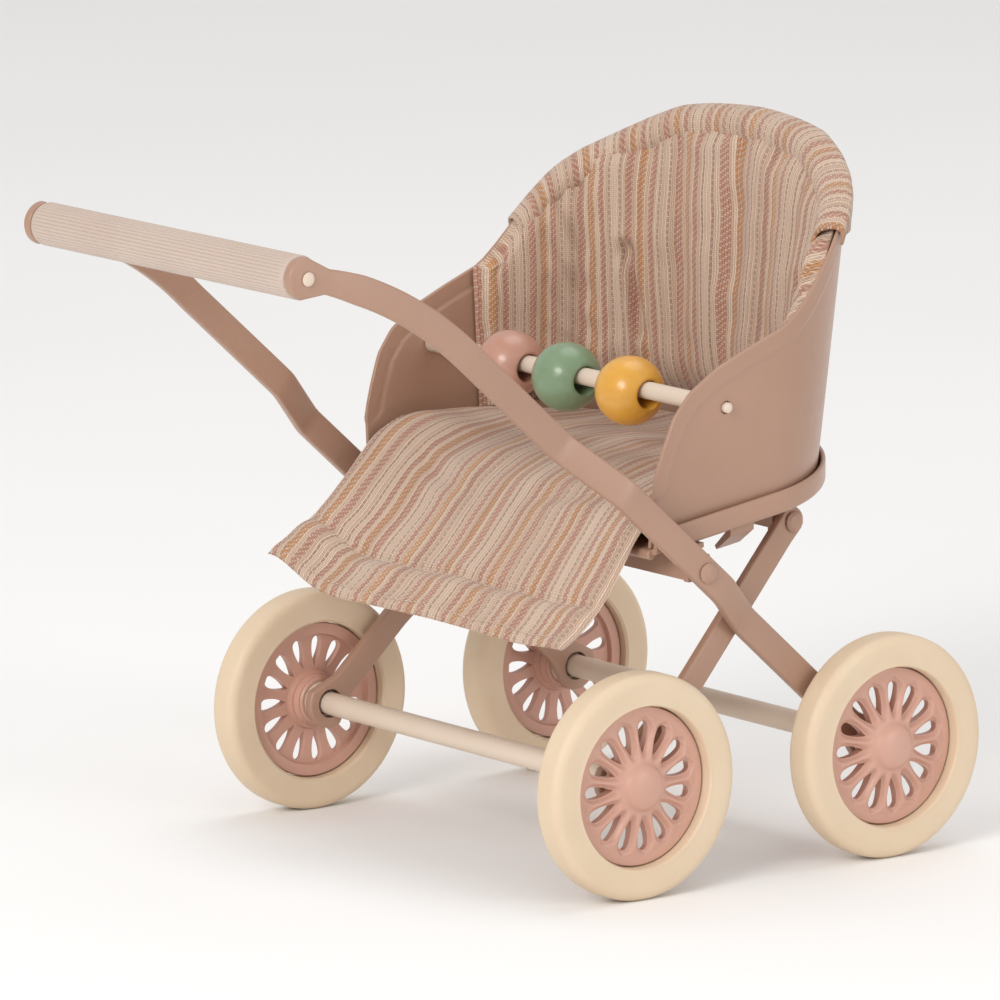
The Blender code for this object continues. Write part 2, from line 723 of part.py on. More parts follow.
def build_back_pad():
    stations = [0.93, 0.97] + [1.0 + i / 10 for i in range(11)]
    rows = 6
    inset = SHEET_T + SOFT_GAP

    def point(t, i):
        top = blend(EDGE, t) - (1.2 if t > 1.2 else 2.4)
        foot = PAD_FOOT_Z + TILT * seat_plan(t, FLOOR_Z, inset)[1]
        z = foot + (top - foot) * i / (rows - 1)
        x, y = seat_plan(t, z, inset)
        return x, y, z

    half_sheet("back_cushion", stations, rows, point, "striped_cotton", PAD_T, 0.8)


def build_hood():
    """The pad's pocket, which hooks over the top of the shell."""
    stations = [1.29, 1.33, 1.405, 1.47] + [1.53 + i * 0.0783 for i in range(7)]
    stations[-1] = 2.0
    section = ((SOFT_GAP, 0.0, 0.0), (SOFT_GAP, 0.5, 0.0), (SOFT_GAP, 1.0, 0.0),
               (0.1, 1.0, 0.45), (-0.4, 1.0, 0.65), (-0.95, 1.0, 0.5))

    def point(t, i):
        out, share, rise = section[i]
        top = blend(EDGE, t)
        z = HOOD_Z + (top - HOOD_Z) * share + rise
        x, y = seat_plan(t, z, -out)
        return x, y, z

    hood = half_sheet("cushion_pocket", stations, len(section), point, "striped_cotton", HOOD_T)
    hood.modifiers["Solidify"].offset = 1


def build_seat_pad():
    """The seat pad and its long front flap, drawn from the side and trimmed to the plan."""
    low = FLOOR_Z + SHEET_T + 0.8
    back_y = SEAT_BEND_Y + SEAT_DEPTH - SHEET_T - PAD_T - 3 * SOFT_GAP
    lead_y = SEAT_FRONT_Y - 0.4
    top = low + SEAT_PAD_T
    slope = (low + TILT * lead_y - FLAP_Z) / (lead_y - FLAP_Y)
    run = math.hypot(1, slope)
    lip = (-FLAP_T * slope / run, FLAP_T / run)
    under = low + TILT * lead_y
    loop = [
        (back_y, low + TILT * back_y), (back_y, top + TILT * back_y),
        (0, top + 0.5), (lead_y + 3.0, top + TILT * lead_y + 0.4),
        (lead_y - 0.5, top + TILT * lead_y - 0.6),
        (lead_y + lip[0] - 1.0, under + lip[1] - 0.6),
        (FLAP_Y + lip[0], FLAP_Z + lip[1]), (FLAP_Y + lip[0] / 2 - 0.8, FLAP_Z + lip[1] / 2 - 0.5),
        (FLAP_Y, FLAP_Z), (lead_y - 1.2, under - 1.2 * slope - 0.2), (lead_y - 0.8, under - 0.5),
        (lead_y + 0.4, under + 0.1),
    ]
    pad = add("seat_cushion", outline_mesh([loop], 2 * PAD_HALF, TO_X), "striped_cotton")
    inset = SHEET_T + PAD_T + 3 * SOFT_GAP
    trim = plan_outline(inset, FLAP_Y - 5)
    wide = [(max(-PAD_HALF, min(PAD_HALF, x)), y) for x, y in trim]
    plan = outline_mesh([wide_front(wide)], 60)
    plan.transform(Matrix.Translation((0, 0, 50 * MM)))
    boolean(pad, add_cutter("seat_pad_plan", plan), "INTERSECT")
    bevel(pad, 0.7, segments=1, angle=50)


def wide_front(loop):
    """The pad keeps its full width ahead of the back pad's side edges."""
    step_y = SEAT_FRONT_Y + 0.9 * (SEAT_BEND_Y - SEAT_FRONT_Y)
    front_y = loop[0][1]
    inner = loop[1:-1]
    right = [(PAD_HALF, front_y), (PAD_HALF, step_y - 1.5)]
    left = [(-PAD_HALF, step_y - 1.5), (-PAD_HALF, front_y)]
    return right + inner + left


# ---------------------------------------------------------------- build

SIDES = (("right", 1), ("left", -1))

clear_scene()
PARTS = new_collection("doll_stroller")
CUTTERS = new_collection("cutters")
CUTTERS.hide_render = True
MATERIALS = {name: new_material(name) for name in COLOURS}

build_wheelset("front", AXLE_Y)
build_wheelset("rear", -AXLE_Y)
arm_rivet_at = build_straps()
build_rivets(arm_rivet_at)
build_brackets(arm_rivet_at)
build_handle()
build_shell()
build_tray()
build_tray_rivets()
build_tabs()
build_bead_rail()
build_back_pad()
build_hood()
build_seat_pad()

for made in list(PARTS.objects) + list(CUTTERS.objects):
    made.location.y -= CENTRE_Y * MM
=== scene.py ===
"""A doll's stroller: painted strap frame, spoked wheels, a bucket seat with a bead rail
and a loose striped cotton cushion. Lengths are in millimetres, drawn from the middle of
the four wheels, and become metres when a mesh is made."""

import json
import math

import bmesh
import bpy
import numpy as np
from mathutils import Matrix, Vector

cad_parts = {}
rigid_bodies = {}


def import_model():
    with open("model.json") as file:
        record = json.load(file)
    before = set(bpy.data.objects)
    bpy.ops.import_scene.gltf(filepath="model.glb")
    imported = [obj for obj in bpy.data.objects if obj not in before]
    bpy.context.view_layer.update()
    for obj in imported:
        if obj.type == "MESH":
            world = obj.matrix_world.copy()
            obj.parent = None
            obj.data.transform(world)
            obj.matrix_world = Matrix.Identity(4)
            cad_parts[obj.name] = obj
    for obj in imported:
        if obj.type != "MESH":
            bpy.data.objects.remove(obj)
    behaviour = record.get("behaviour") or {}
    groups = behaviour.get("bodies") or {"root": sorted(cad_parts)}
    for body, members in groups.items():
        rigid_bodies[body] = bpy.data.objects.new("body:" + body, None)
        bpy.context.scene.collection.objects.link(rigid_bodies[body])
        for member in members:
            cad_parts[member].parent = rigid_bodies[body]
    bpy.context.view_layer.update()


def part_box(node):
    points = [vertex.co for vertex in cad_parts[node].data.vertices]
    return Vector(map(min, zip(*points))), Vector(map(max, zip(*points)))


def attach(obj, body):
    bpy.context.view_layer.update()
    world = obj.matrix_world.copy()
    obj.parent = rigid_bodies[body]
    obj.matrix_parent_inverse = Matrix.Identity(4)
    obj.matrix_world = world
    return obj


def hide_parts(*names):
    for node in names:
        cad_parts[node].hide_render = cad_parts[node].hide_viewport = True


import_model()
MM = 0.001


def middle(node):
    low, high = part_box(node)
    return (low + high) / 2 / MM


MID_Y = (middle("front_axle").y + middle("rear_axle").y) / 2
AXLES = {end: middle(f"{end}_axle").y - MID_Y for end in ("front", "rear")}
WHEEL_Z = middle("front_axle").z
WHEEL_X = middle("front_tyre_right").x
WHEEL_R = (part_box("front_tyre_right")[1].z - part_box("front_tyre_right")[0].z) / 2 / MM
RIM_R = (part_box("front_hub_right")[1].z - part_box("front_hub_right")[0].z) / 2 / MM
GRIP_Y, GRIP_Z = middle("grip_rod").y - MID_Y, middle("grip_rod").z
GRIP_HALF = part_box("grip_sleeve")[1].x / MM
BEAD_Y, BEAD_Z = middle("bead_rod").y - MID_Y, middle("bead_rod").z
FLOOR_Z, TILT = 49.4, 0.15
SHEET_T = 0.7
SIDES = (("right", 1), ("left", -1))


# ---------------------------------------------------------------- materials


class Nodes:
    """Short words for building one material."""

    def __init__(self, name, roughness, **sockets):
        self.material = bpy.data.materials.new(name)
        self.material.use_nodes = True
        self.tree = self.material.node_tree
        self.shader = self.tree.nodes["Principled BSDF"]
        self.shader.inputs["Roughness"].default_value = roughness
        for key, value in sockets.items():
            self.shader.inputs[key.replace("_", " ").title().replace("Ior", "IOR")].default_value = value

    def node(self, kind, inputs=None, **settings):
        made = self.tree.nodes.new("ShaderNode" + kind)
        for key, value in settings.items():
            setattr(made, key, value)
        for key, value in (inputs or {}).items():
            if isinstance(value, bpy.types.NodeSocket):
                self.tree.links.new(value, made.inputs[key])
            else:
                made.inputs[key].default_value = value
        return made

    def link(self, output, key):
        self.tree.links.new(output, self.shader.inputs[key])

    def math(self, operation, a, b=0.0, c=0.0):
        return self.node("Math", {0: a, 1: b, 2: c}, operation=operation).outputs[0]

    def noise(self, scale, detail=3.0, vector=None, roughness=0.5):
        vector = vector or self.node("TexCoord").outputs["Object"]
        inputs = {"Vector": vector, "Scale": scale, "Detail": detail, "Roughness": roughness}
        return self.node("TexNoise", inputs).outputs["Fac"]

    def ramp(self, value, stops, interpolation="LINEAR"):
        made = self.node("ValToRGB", {"Fac": value})
        ramp = made.color_ramp
        ramp.interpolation = interpolation
        while len(ramp.elements) < len(stops):
            ramp.elements.new(1.0)
        for element, (at, colour) in zip(ramp.elements, stops):
            element.position = at
            element.color = (*colour, 1)
        return made.outputs["Color"]

    def mix(self, factor, a, b, blend_type="MIX"):
        made = self.node("Mix", data_type="RGBA", blend_type=blend_type)
        for socket, value in ((made.inputs[0], factor), (made.inputs[6], a), (made.inputs[7], b)):
            if isinstance(value, bpy.types.NodeSocket):
                self.tree.links.new(value, socket)
            else:
                socket.default_value = value if isinstance(value, float) else (*value, 1)
        return made.outputs[2]

    def bump(self, height, distance, strength=1.0):
        made = self.node("Bump", {"Height": height, "Distance": distance, "Strength": strength})
        self.link(made.outputs["Normal"], "Normal")


def satin_paint(name, light, dark, roughness=0.42, peel=4e-5):
    """Sprayed satin paint: a slow drift of tone, faint orange peel and a few specks."""
    m = Nodes(name, roughness, coat_weight=0.12, coat_roughness=0.35)
    drift = m.noise(55.0, 2.0)
    specks = m.noise(1900.0, 1.0)
    tone = m.ramp(drift, ((0.3, dark), (0.7, light)))
    m.link(m.mix(m.ramp(specks, ((0.70, (0, 0, 0)), (0.78, (0.25, 0.25, 0.25)))), tone, dark),
           "Base Color")
    m.link(m.node("MapRange", {"Value": m.noise(320.0, 3.0), "To Min": roughness - 0.06,
                               "To Max": roughness + 0.08}).outputs[0], "Roughness")
    m.bump(m.noise(1500.0, 2.0), peel)
    return m.material


def moulded(name, light, dark, roughness=0.45, grain=3e-5):
    """Moulded plastic or rubber with a soft uneven skin."""
    m = Nodes(name, roughness, subsurface_weight=0.08, subsurface_scale=0.002)
    drift = m.noise(90.0, 4.0)
    m.link(m.ramp(drift, ((0.25, dark), (0.75, light))), "Base Color")
    m.link(m.node("MapRange", {"Value": m.noise(420.0, 2.0), "To Min": roughness - 0.05,
                               "To Max": roughness + 0.1}).outputs[0], "Roughness")
    m.bump(m.noise(900.0, 4.0), grain)
    return m.material


def lacquered_wood(name, light, dark):
    m = Nodes(name, 0.34, coat_weight=0.45, coat_roughness=0.16)
    grain = m.node("Mapping", {"Vector": m.node("TexCoord").outputs["Object"],
                               "Scale": (0.25, 1.0, 1.0)}).outputs[0]
    lines = m.noise(900.0, 3.0, grain)
    m.link(m.ramp(lines, ((0.25, dark), (0.65, light))), "Base Color")
    m.bump(lines, 4e-5)
    return m.material


THREAD = 0.30
CREAM, OCHRE = (0.70, 0.51, 0.385), (0.52, 0.20, 0.032)
ROSE, GREY = (0.45, 0.165, 0.10), (0.36, 0.205, 0.15)
STRIPES = ((0.0, OCHRE), (0.062, CREAM), (0.17, ROSE), (0.305, CREAM), (0.41, GREY),
           (0.446, CREAM), (0.585, GREY), (0.621, CREAM), (0.715, ROSE), (0.845, CREAM),
           (0.938, OCHRE))


def striped_cotton():
    """A coarse weave: coloured warp threads that show on top in a twill of two over one,
    and cream weft between them, with painted shade darkening the low parts between threads.
    The map is in millimetres across and along the cloth."""
    m = Nodes("striped_cotton", 0.88, sheen_weight=0.25, sheen_roughness=0.5)
    place = m.node("SeparateXYZ", {"Vector": m.node("UVMap", uv_map="weave").outputs[0]})
    wander = m.noise(700.0, 2.0)
    drift = m.math("MULTIPLY_ADD", m.noise(60.0, 2.0), 1.4, place.outputs[0])
    across = m.math("DIVIDE", m.math("MULTIPLY_ADD", wander, 0.25, drift), THREAD)
    along = m.math("DIVIDE", m.math("MULTIPLY_ADD", wander, 0.18, place.outputs[1]), THREAD)
    warp, weft = m.math("FLOOR", across), m.math("FLOOR", along)
    turn = m.math("FLOORED_MODULO", m.math("ADD", warp, weft), 3.0)
    on_top = m.math("GREATER_THAN", turn, 0.5)
    stripe = m.math("FRACT", m.math("DIVIDE", m.math("ADD", warp, 0.5), 30.0))
    colour = m.ramp(stripe, STRIPES, "CONSTANT")
    cloth = m.mix(m.math("MULTIPLY_ADD", on_top, 0.72, 0.22), CREAM, colour)
    thread = m.node("TexWhiteNoise", {"W": warp}, noise_dimensions="1D").outputs["Value"]
    dye = m.ramp(thread, ((0.15, (0.80, 0.68, 0.61)), (0.6, (0.96, 0.94, 0.92)),
                          (0.9, (1.06, 1.05, 1.03))))
    cloth = m.mix(0.85, cloth, dye, "MULTIPLY")
    slub = m.noise(1.0, 2.0, m.node("CombineXYZ", {"X": m.math("MULTIPLY", across, 0.9),
                                                 "Y": m.math("MULTIPLY", along, 0.12)}).outputs[0])
    cloth = m.mix(m.math("MULTIPLY", slub, 0.28), cloth, (0.78, 0.66, 0.55))
    round_warp = m.math("SINE", m.math("MULTIPLY", m.math("FRACT", across), math.pi))
    round_weft = m.math("SINE", m.math("MULTIPLY", m.math("FRACT", along), math.pi))
    top = m.math("MULTIPLY", round_warp, m.math("MULTIPLY_ADD", on_top, 0.6, 0.4))
    under = m.math("MULTIPLY", round_weft, m.math("MULTIPLY_ADD", on_top, -0.7, 0.95))
    height = m.math("MAXIMUM", top, under)
    # Painted shade: the colour is darkened where the threads dip, in the gaps between them.
    shade = m.math("MULTIPLY_ADD", height, 0.78, 0.24)
    painted_thread_shade = m.node("CombineColor", {0: shade, 1: shade, 2: shade}).outputs[0]
    m.link(m.mix(0.8, cloth, painted_thread_shade, "MULTIPLY"), "Base Color")
    m.bump(m.math("ADD", height, m.math("MULTIPLY", slub, 0.4)), 7e-5, 0.9)
    return m.material


def sewing_thread():
    m = Nodes("sewing_thread", 0.7, sheen_weight=0.2)
    m.link(m.ramp(m.noise(2500.0, 2.0), ((0.3, (0.44, 0.32, 0.24)), (0.7, (0.66, 0.53, 0.42)))),
           "Base Color")
    m.bump(m.noise(5000.0, 1.0), 3e-5)
    return m.material


PAINT = satin_paint("rose_brown_paint", (0.405, 0.240, 0.168), (0.375, 0.220, 0.152), 0.36)
SEAT_PAINT = satin_paint("seat_paint", (0.405, 0.238, 0.166), (0.38, 0.222, 0.152), 0.34)
HUB = moulded("rose_plastic", (0.60, 0.345, 0.265), (0.56, 0.315, 0.24), 0.36)
TYRE = moulded("cream_tyre", (0.72, 0.575, 0.415), (0.675, 0.525, 0.365), 0.5)
ROD = satin_paint("cream_paint", (0.70, 0.585, 0.475), (0.66, 0.54, 0.43), 0.4)
GRIP = moulded("grip_plastic", (0.56, 0.455, 0.39), (0.52, 0.415, 0.35), 0.45)
NYLON = moulded("washer_nylon", (0.70, 0.62, 0.52), (0.64, 0.56, 0.46), 0.45)
BEADS = {
    "pink": lacquered_wood("pink_lacquer", (0.50, 0.255, 0.185), (0.47, 0.235, 0.165)),
    "green": lacquered_wood("green_lacquer", (0.195, 0.290, 0.165), (0.175, 0.265, 0.148)),
    "mustard": lacquered_wood("mustard_lacquer", (0.74, 0.37, 0.045), (0.69, 0.335, 0.036)),
}
COTTON = striped_cotton()
STITCH = sewing_thread()


# ---------------------------------------------------------------- making pieces


def new_object(name, verts, faces, material, uv=None):
    """A piece from points in millimetres; its object sits at the origin."""
    mesh = bpy.data.meshes.new(name)
    points = np.asarray(verts, float) * MM + np.array((0.0, MID_Y * MM, 0.0))
    mesh.from_pydata(points.tolist(), [], faces)
    mesh.materials.append(material)
    if uv is not None:
        layer = mesh.uv_layers.new(name="weave")
        corner = np.empty(len(mesh.loops), np.int32)
        mesh.loops.foreach_get("vertex_index", corner)
        layer.data.foreach_set("uv", np.asarray(uv, np.float32)[corner].ravel())
    piece = bpy.data.objects.new(name, mesh)
    bpy.context.scene.collection.objects.link(piece)
    return piece


def baked(piece):
    """Turns a piece with modifiers into a plain mesh."""
    graph = bpy.context.evaluated_depsgraph_get()
    mesh = bpy.data.meshes.new_from_object(piece.evaluated_get(graph))
    piece.modifiers.clear()
    piece.data = mesh
    mesh.name = piece.name
    return piece


def settle(piece, body, stands_for=(), sharp=35):
    mesh = piece.data
    mesh.shade_smooth()
    if sharp:
        mesh.set_sharp_from_angle(angle=math.radians(sharp))
    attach(piece, body)
    if stands_for:
        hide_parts(*([stands_for] if isinstance(stands_for, str) else stands_for))
    return piece


def outwards(piece, weld=1e-8, collapsed=0.0):
    """Welds points that lie together, then faces the piece outwards."""
    bm = bmesh.new()
    bm.from_mesh(piece.data)
    if weld:
        bmesh.ops.remove_doubles(bm, verts=bm.verts, dist=weld)
    if collapsed:
        bmesh.ops.dissolve_degenerate(bm, edges=bm.edges, dist=collapsed)
    bmesh.ops.recalc_face_normals(bm, faces=bm.faces)
    bm.to_mesh(piece.data)
    bm.free()
    return piece


def grid_faces(rows, cols, wrap_rows=False, wrap_cols=False, start=0):
    faces = []
    for i in range(rows if wrap_rows else rows - 1):
        for j in range(cols if wrap_cols else cols - 1):
            a, b = i * cols + j, i * cols + (j + 1) % cols
            c, d = ((i + 1) % rows) * cols + (j + 1) % cols, ((i + 1) % rows) * cols + j
            faces.append((start + a, start + b, start + c, start + d))
    return faces


def turned(name, profile, centre, material, steps=64, side=1, closed=False):
    """A profile of (along X, radius) points turned about X."""
    turn = np.arange(steps) * 2 * math.pi / steps
    a = np.array([p[0] for p in profile])[:, None] * side
    r = np.array([p[1] for p in profile])[:, None]
    x = np.repeat(a, steps, 1) + centre[0]
    y = r * np.cos(turn) + centre[1]
    z = r * np.sin(turn) + centre[2]
    faces = grid_faces(len(profile), steps, closed, True)
    return outwards(new_object(name, np.stack((x, y, z), -1).reshape(-1, 3), faces, material))


def cut_round(piece, centre_yz, radius, half=60.0, steps=48):
    """Bores a piece along X."""
    cutter = turned("bore", [(-half, 0), (-half, radius), (half, radius), (half, 0)],
                    (0, *centre_yz), PAINT, steps)
    step = piece.modifiers.new("Bore", "BOOLEAN")
    step.operation, step.object, step.solver = "DIFFERENCE", cutter, "EXACT"
    baked(piece)
    bpy.data.objects.remove(cutter, do_unlink=True)
    return piece


def eased(value, low, high):
    t = np.clip((np.asarray(value, float) - low) / (high - low), 0, 1)
    return t * t * (3 - 2 * t)


# ---------------------------------------------------------------- repeated detail


def node_tree(name, sockets):
    """A geometry tree with named inputs; returns it with its input and output nodes."""
    tree = bpy.data.node_groups.new(name, "GeometryNodeTree")
    tree.interface.new_socket("Geometry", in_out="INPUT", socket_type="NodeSocketGeometry")
    for label, kind in sockets:
        tree.interface.new_socket(label, in_out="INPUT", socket_type="NodeSocket" + kind)
    tree.interface.new_socket("Geometry", in_out="OUTPUT", socket_type="NodeSocketGeometry")
    return tree, tree.nodes.new("NodeGroupInput"), tree.nodes.new("NodeGroupOutput")


def joined(tree, kind, inputs, **settings):
    made = tree.nodes.new(kind)
    for key, value in settings.items():
        setattr(made, key, value)
    for key, value in inputs.items():
        if isinstance(value, bpy.types.NodeSocket):
            tree.links.new(value, made.inputs[key])
        else:
            made.inputs[key].default_value = value
    return made


def ring_tree():
    """Repeats a wedge about the X axis through the origin and welds the copies."""
    tree, given, result = node_tree("wedges_in_a_ring", [("Count", "Int"), ("Weld", "Float"),
                                                         ("Finish", "Material")])
    count = given.outputs["Count"]
    points = joined(tree, "GeometryNodeMeshLine", {"Count": count, "Offset": (0.0, 0.0, 0.0)})
    step = joined(tree, "ShaderNodeMath", {0: 2 * math.pi, 1: count}, operation="DIVIDE")
    index = tree.nodes.new("GeometryNodeInputIndex")
    angle = joined(tree, "ShaderNodeMath", {0: index.outputs[0], 1: step.outputs[0]},
                   operation="MULTIPLY")
    turn = joined(tree, "ShaderNodeCombineXYZ", {"X": angle.outputs[0]})
    copies = joined(tree, "GeometryNodeInstanceOnPoints", {
        "Points": points.outputs[0], "Instance": given.outputs["Geometry"],
        "Rotation": turn.outputs[0]})
    real = joined(tree, "GeometryNodeRealizeInstances", {"Geometry": copies.outputs[0]})
    weld = joined(tree, "GeometryNodeMergeByDistance",
                  {"Geometry": real.outputs[0], "Distance": given.outputs["Weld"]})
    done = joined(tree, "GeometryNodeSetMaterial",
                  {"Geometry": weld.outputs[0], "Material": given.outputs["Finish"]})
    tree.links.new(done.outputs[0], result.inputs[0])
    return tree


def stitch_tree():
    """Lays short threads end to end along a line."""
    tree, given, result = node_tree("row_of_stitches", [
        ("Pitch", "Float"), ("Length", "Float"), ("Thickness", "Float"), ("Finish", "Material")])
    curve = joined(tree, "GeometryNodeMeshToCurve", {"Mesh": given.outputs["Geometry"]})
    spaced = joined(tree, "GeometryNodeResampleCurve",
                    {"Curve": curve.outputs[0], "Length": given.outputs["Pitch"]}, mode="LENGTH")
    tangent = tree.nodes.new("GeometryNodeInputTangent")
    turn = joined(tree, "FunctionNodeAlignRotationToVector", {"Vector": tangent.outputs[0]},
                  axis="Z")
    thread = joined(tree, "GeometryNodeMeshUVSphere",
                    {"Segments": 8, "Rings": 6, "Radius": 0.5})
    size = joined(tree, "ShaderNodeCombineXYZ", {
        "X": given.outputs["Thickness"], "Y": given.outputs["Thickness"],
        "Z": given.outputs["Length"]})
    copies = joined(tree, "GeometryNodeInstanceOnPoints", {
        "Points": spaced.outputs[0], "Instance": thread.outputs["Mesh"],
        "Rotation": turn.outputs[0], "Scale": size.outputs[0]})
    real = joined(tree, "GeometryNodeRealizeInstances", {"Geometry": copies.outputs[0]})
    done = joined(tree, "GeometryNodeSetMaterial",
                  {"Geometry": real.outputs[0], "Material": given.outputs["Finish"]})
    tree.links.new(done.outputs[0], result.inputs[0])
    return tree


def grown(piece, tree, **values):
    """Runs a geometry tree on a piece, with its inputs set by name."""
    step = piece.modifiers.new("Grow", "NODES")
    step.node_group = tree
    for item in tree.interface.items_tree:
        if item.in_out == "INPUT" and item.name in values:
            step[item.identifier] = values[item.name]
    return baked(piece)


RING = ring_tree()
STITCHES = stitch_tree()


def placed(piece, centre, side=1):
    """Moves a piece drawn about the X axis at the origin to its centre; side -1 mirrors it."""
    mesh = piece.data
    mesh.transform(Matrix.Translation((0, -MID_Y * MM, 0)))
    if side < 0:
        mesh.transform(Matrix.Scale(-1, 4, (1, 0, 0)))
        mesh.flip_normals()
    mesh.transform(Matrix.Translation((Vector(centre) + Vector((0, MID_Y, 0))) * MM))
    return piece


# ---------------------------------------------------------------- wheels

SPOKES = 15


def hub_face(r):
    """Height of a spoke's ridge and of the scoop beside it, from the wheel's middle."""
    ridge = np.interp(r, (0, 1.5, 2.5, 3.05, 3.4, 3.75, 4.4, 8.6, 9.3, 9.9, 12),
                      (3.15, 3.05, 2.78, 2.42, 1.85, 1.66, 1.64, 1.15, 0.98, 0.82, 0.8))
    scoop = np.interp(r, (0, 3.5, 3.8, 4.6, 9.4, 9.75, 9.95, 12),
                      (3.2, 2.25, 1.75, 0.9, 0.45, 0.62, 0.80, 0.80))
    return ridge, np.minimum(scoop, ridge)


def hole_half(r):
    """Half width of the window between two spokes at radius r."""
    inner, outer = 4.7, 9.2
    grow = np.clip((r - inner) / (outer - inner), 0, 1)
    point = 0.86 * np.sin(np.minimum(grow * 1.35, 1) * math.pi / 2) ** 0.9
    tip = np.sqrt(np.clip(1 - ((r - (outer - 0.86)) / 0.86) ** 2, 0, 1)) * 0.86
    return np.where(r > outer - 0.86, tip, point)


def make_hub(end, word, side):
    """One wedge holding a spoke and half a window each side, repeated about the axle."""
    radii = np.concatenate((
        (0.0001, 0.9, 1.75, 2.4, 2.85, 3.15, 3.4, 3.6, 3.85, 4.15, 4.45, 4.7),
        np.linspace(4.86, 8.1, 15), 8.34 + 0.86 * np.sin(np.radians((8, 22, 36, 50, 64, 78, 90))),
        (9.4, 9.6, 9.75, 9.87, 9.98, 10.3, 10.75, 11.1, RIM_R)))
    across = np.sin(np.radians(np.linspace(-90, 90, 17)))
    half = math.pi / SPOKES
    back = -1.2
    rows, cols = len(radii), len(across)
    ridge, scoop = hub_face(radii)
    open_half = hole_half(radii)
    width = half - np.arcsin(np.clip(open_half / np.maximum(radii, 1), 0, 0.98)) * (radii > 4.69)
    angle = across[None, :] * width[:, None]
    share = np.abs(angle) * radii[:, None]
    crest = np.interp(radii, (3.6, 5, 8.5, 9.4, 9.9), (0.36, 0.08, 0.12, 0.8, 2.0))
    flank = np.maximum(width * radii - crest, 0.05)
    away = np.clip((share - crest[:, None]) / flank[:, None], 0, 1)
    drop = np.sin(away * math.pi / 2) ** 1.5
    drop *= eased(radii, 3.45, 4.3)[:, None]
    front = ridge[:, None] - (ridge - scoop)[:, None] * drop
    front[-1] -= 0.25
    rear = np.full_like(front, back)
    rear[-1] += 0.25
    rear[radii < 3.3] = -2.4
    rear[(radii >= 3.3) & (radii < 3.7)] = -2.1
    rear[(radii > 4.4) & (radii < 9.5)] = -0.45
    verts = []
    for height in (front, rear):
        y, z = radii[:, None] * np.cos(angle), radii[:, None] * np.sin(angle)
        verts.append(np.stack((height, y, z), -1).reshape(-1, 3))
    faces = grid_faces(rows, cols) + grid_faces(rows, cols, start=rows * cols)
    under = rows * cols
    for i in range(rows - 1):
        if open_half[i] > 0.01 or open_half[i + 1] > 0.01:
            for j in (0, cols - 1):
                a, b = i * cols + j, (i + 1) * cols + j
                faces.append((a, b, under + b, under + a))
    last = (rows - 1) * cols
    for j in range(cols - 1):
        faces.append((last + j, last + j + 1, under + last + j + 1, under + last + j))
    hub = new_object(f"hub_{end}_{word}", np.concatenate(verts), faces, HUB)
    hub.data.transform(Matrix.Translation((0, -MID_Y * MM, 0)))
    grown(hub, RING, Count=SPOKES, Weld=2e-5, Finish=HUB)
    outwards(hub, 1.5e-5, 1e-6)
    hub.data.transform(Matrix.Translation((0, MID_Y * MM, 0)))
    placed(hub, (side * WHEEL_X, AXLES[end], WHEEL_Z), side)
    return settle(hub, f"{end}_wheels", f"{end}_hub_{word}", 48)


def make_tyre(end, word, side):
    """A flat-sided cream tyre with a rounded tread edge and a soft inner edge."""
    edge = 1.35
    outer = []
    for centre_x, start in ((2.5 - edge, 0), (-2.5 + edge, 90)):
        for step in range(7):
            a = math.radians(start + step * 15)
            outer.append((centre_x + edge * math.cos(a), WHEEL_R - edge + edge * math.sin(a)))
    inner = 11.4
    profile = ([(2.42, inner + 0.5), (2.5, inner + 1.3), (2.5, WHEEL_R - edge - 0.4)] + outer
               + [(-2.5, WHEEL_R - edge - 0.4), (-2.5, inner + 0.4), (-2.2, inner + 0.05), (-1.6, inner),
                  (1.9, inner), (2.3, inner + 0.1), (2.45, inner + 0.25)])
    tyre = turned(f"tyre_{end}_{word}", profile, (side * WHEEL_X, AXLES[end], WHEEL_Z), TYRE,
                  128, side, True)
    return settle(tyre, f"{end}_wheels", f"{end}_tyre_{word}", 40)


for end in ("front", "rear"):
    for word, side in SIDES:
        make_hub(end, word, side)
        make_tyre(end, word, side)


# ---------------------------------------------------------------- rods, beads, grip


def rod(name, half, radius, centre, material, body, node, end=0.3, steps=64):
    ends = [(half, 0.0), (half, radius - end)] + [
        (half - end + end * math.sin(a), radius - end + end * math.cos(a))
        for a in np.radians((60, 30, 0))]
    profile = ends + [(-x, r) for x, r in reversed(ends)]
    return settle(turned(name, profile, centre, material, steps), body, node)


AXLE_R = 1.65
for end in ("front", "rear"):
    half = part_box(f"{end}_axle")[1].x / MM
    rod(f"axle_{end}", half, AXLE_R, (0, AXLES[end], WHEEL_Z), ROD, f"{end}_wheels",
        f"{end}_axle")

BEAD_ROD_R = (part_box("bead_rod")[1].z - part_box("bead_rod")[0].z) / 2 / MM
BEAD_ROD_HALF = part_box("bead_rod")[1].x / MM
DOT = [(BEAD_ROD_HALF, 0), (BEAD_ROD_HALF - 0.04, 0.35), (BEAD_ROD_HALF - 0.14, 0.62),
       (BEAD_ROD_HALF - 0.3, 0.75),
       (33.3, 0.76), (33.22, BEAD_ROD_R - 0.08), (33.1, BEAD_ROD_R)]
settle(turned("bead_rail", DOT + [(-x, r) for x, r in reversed(DOT)], (0, BEAD_Y, BEAD_Z), ROD, 48),
       "carriage", "bead_rod")


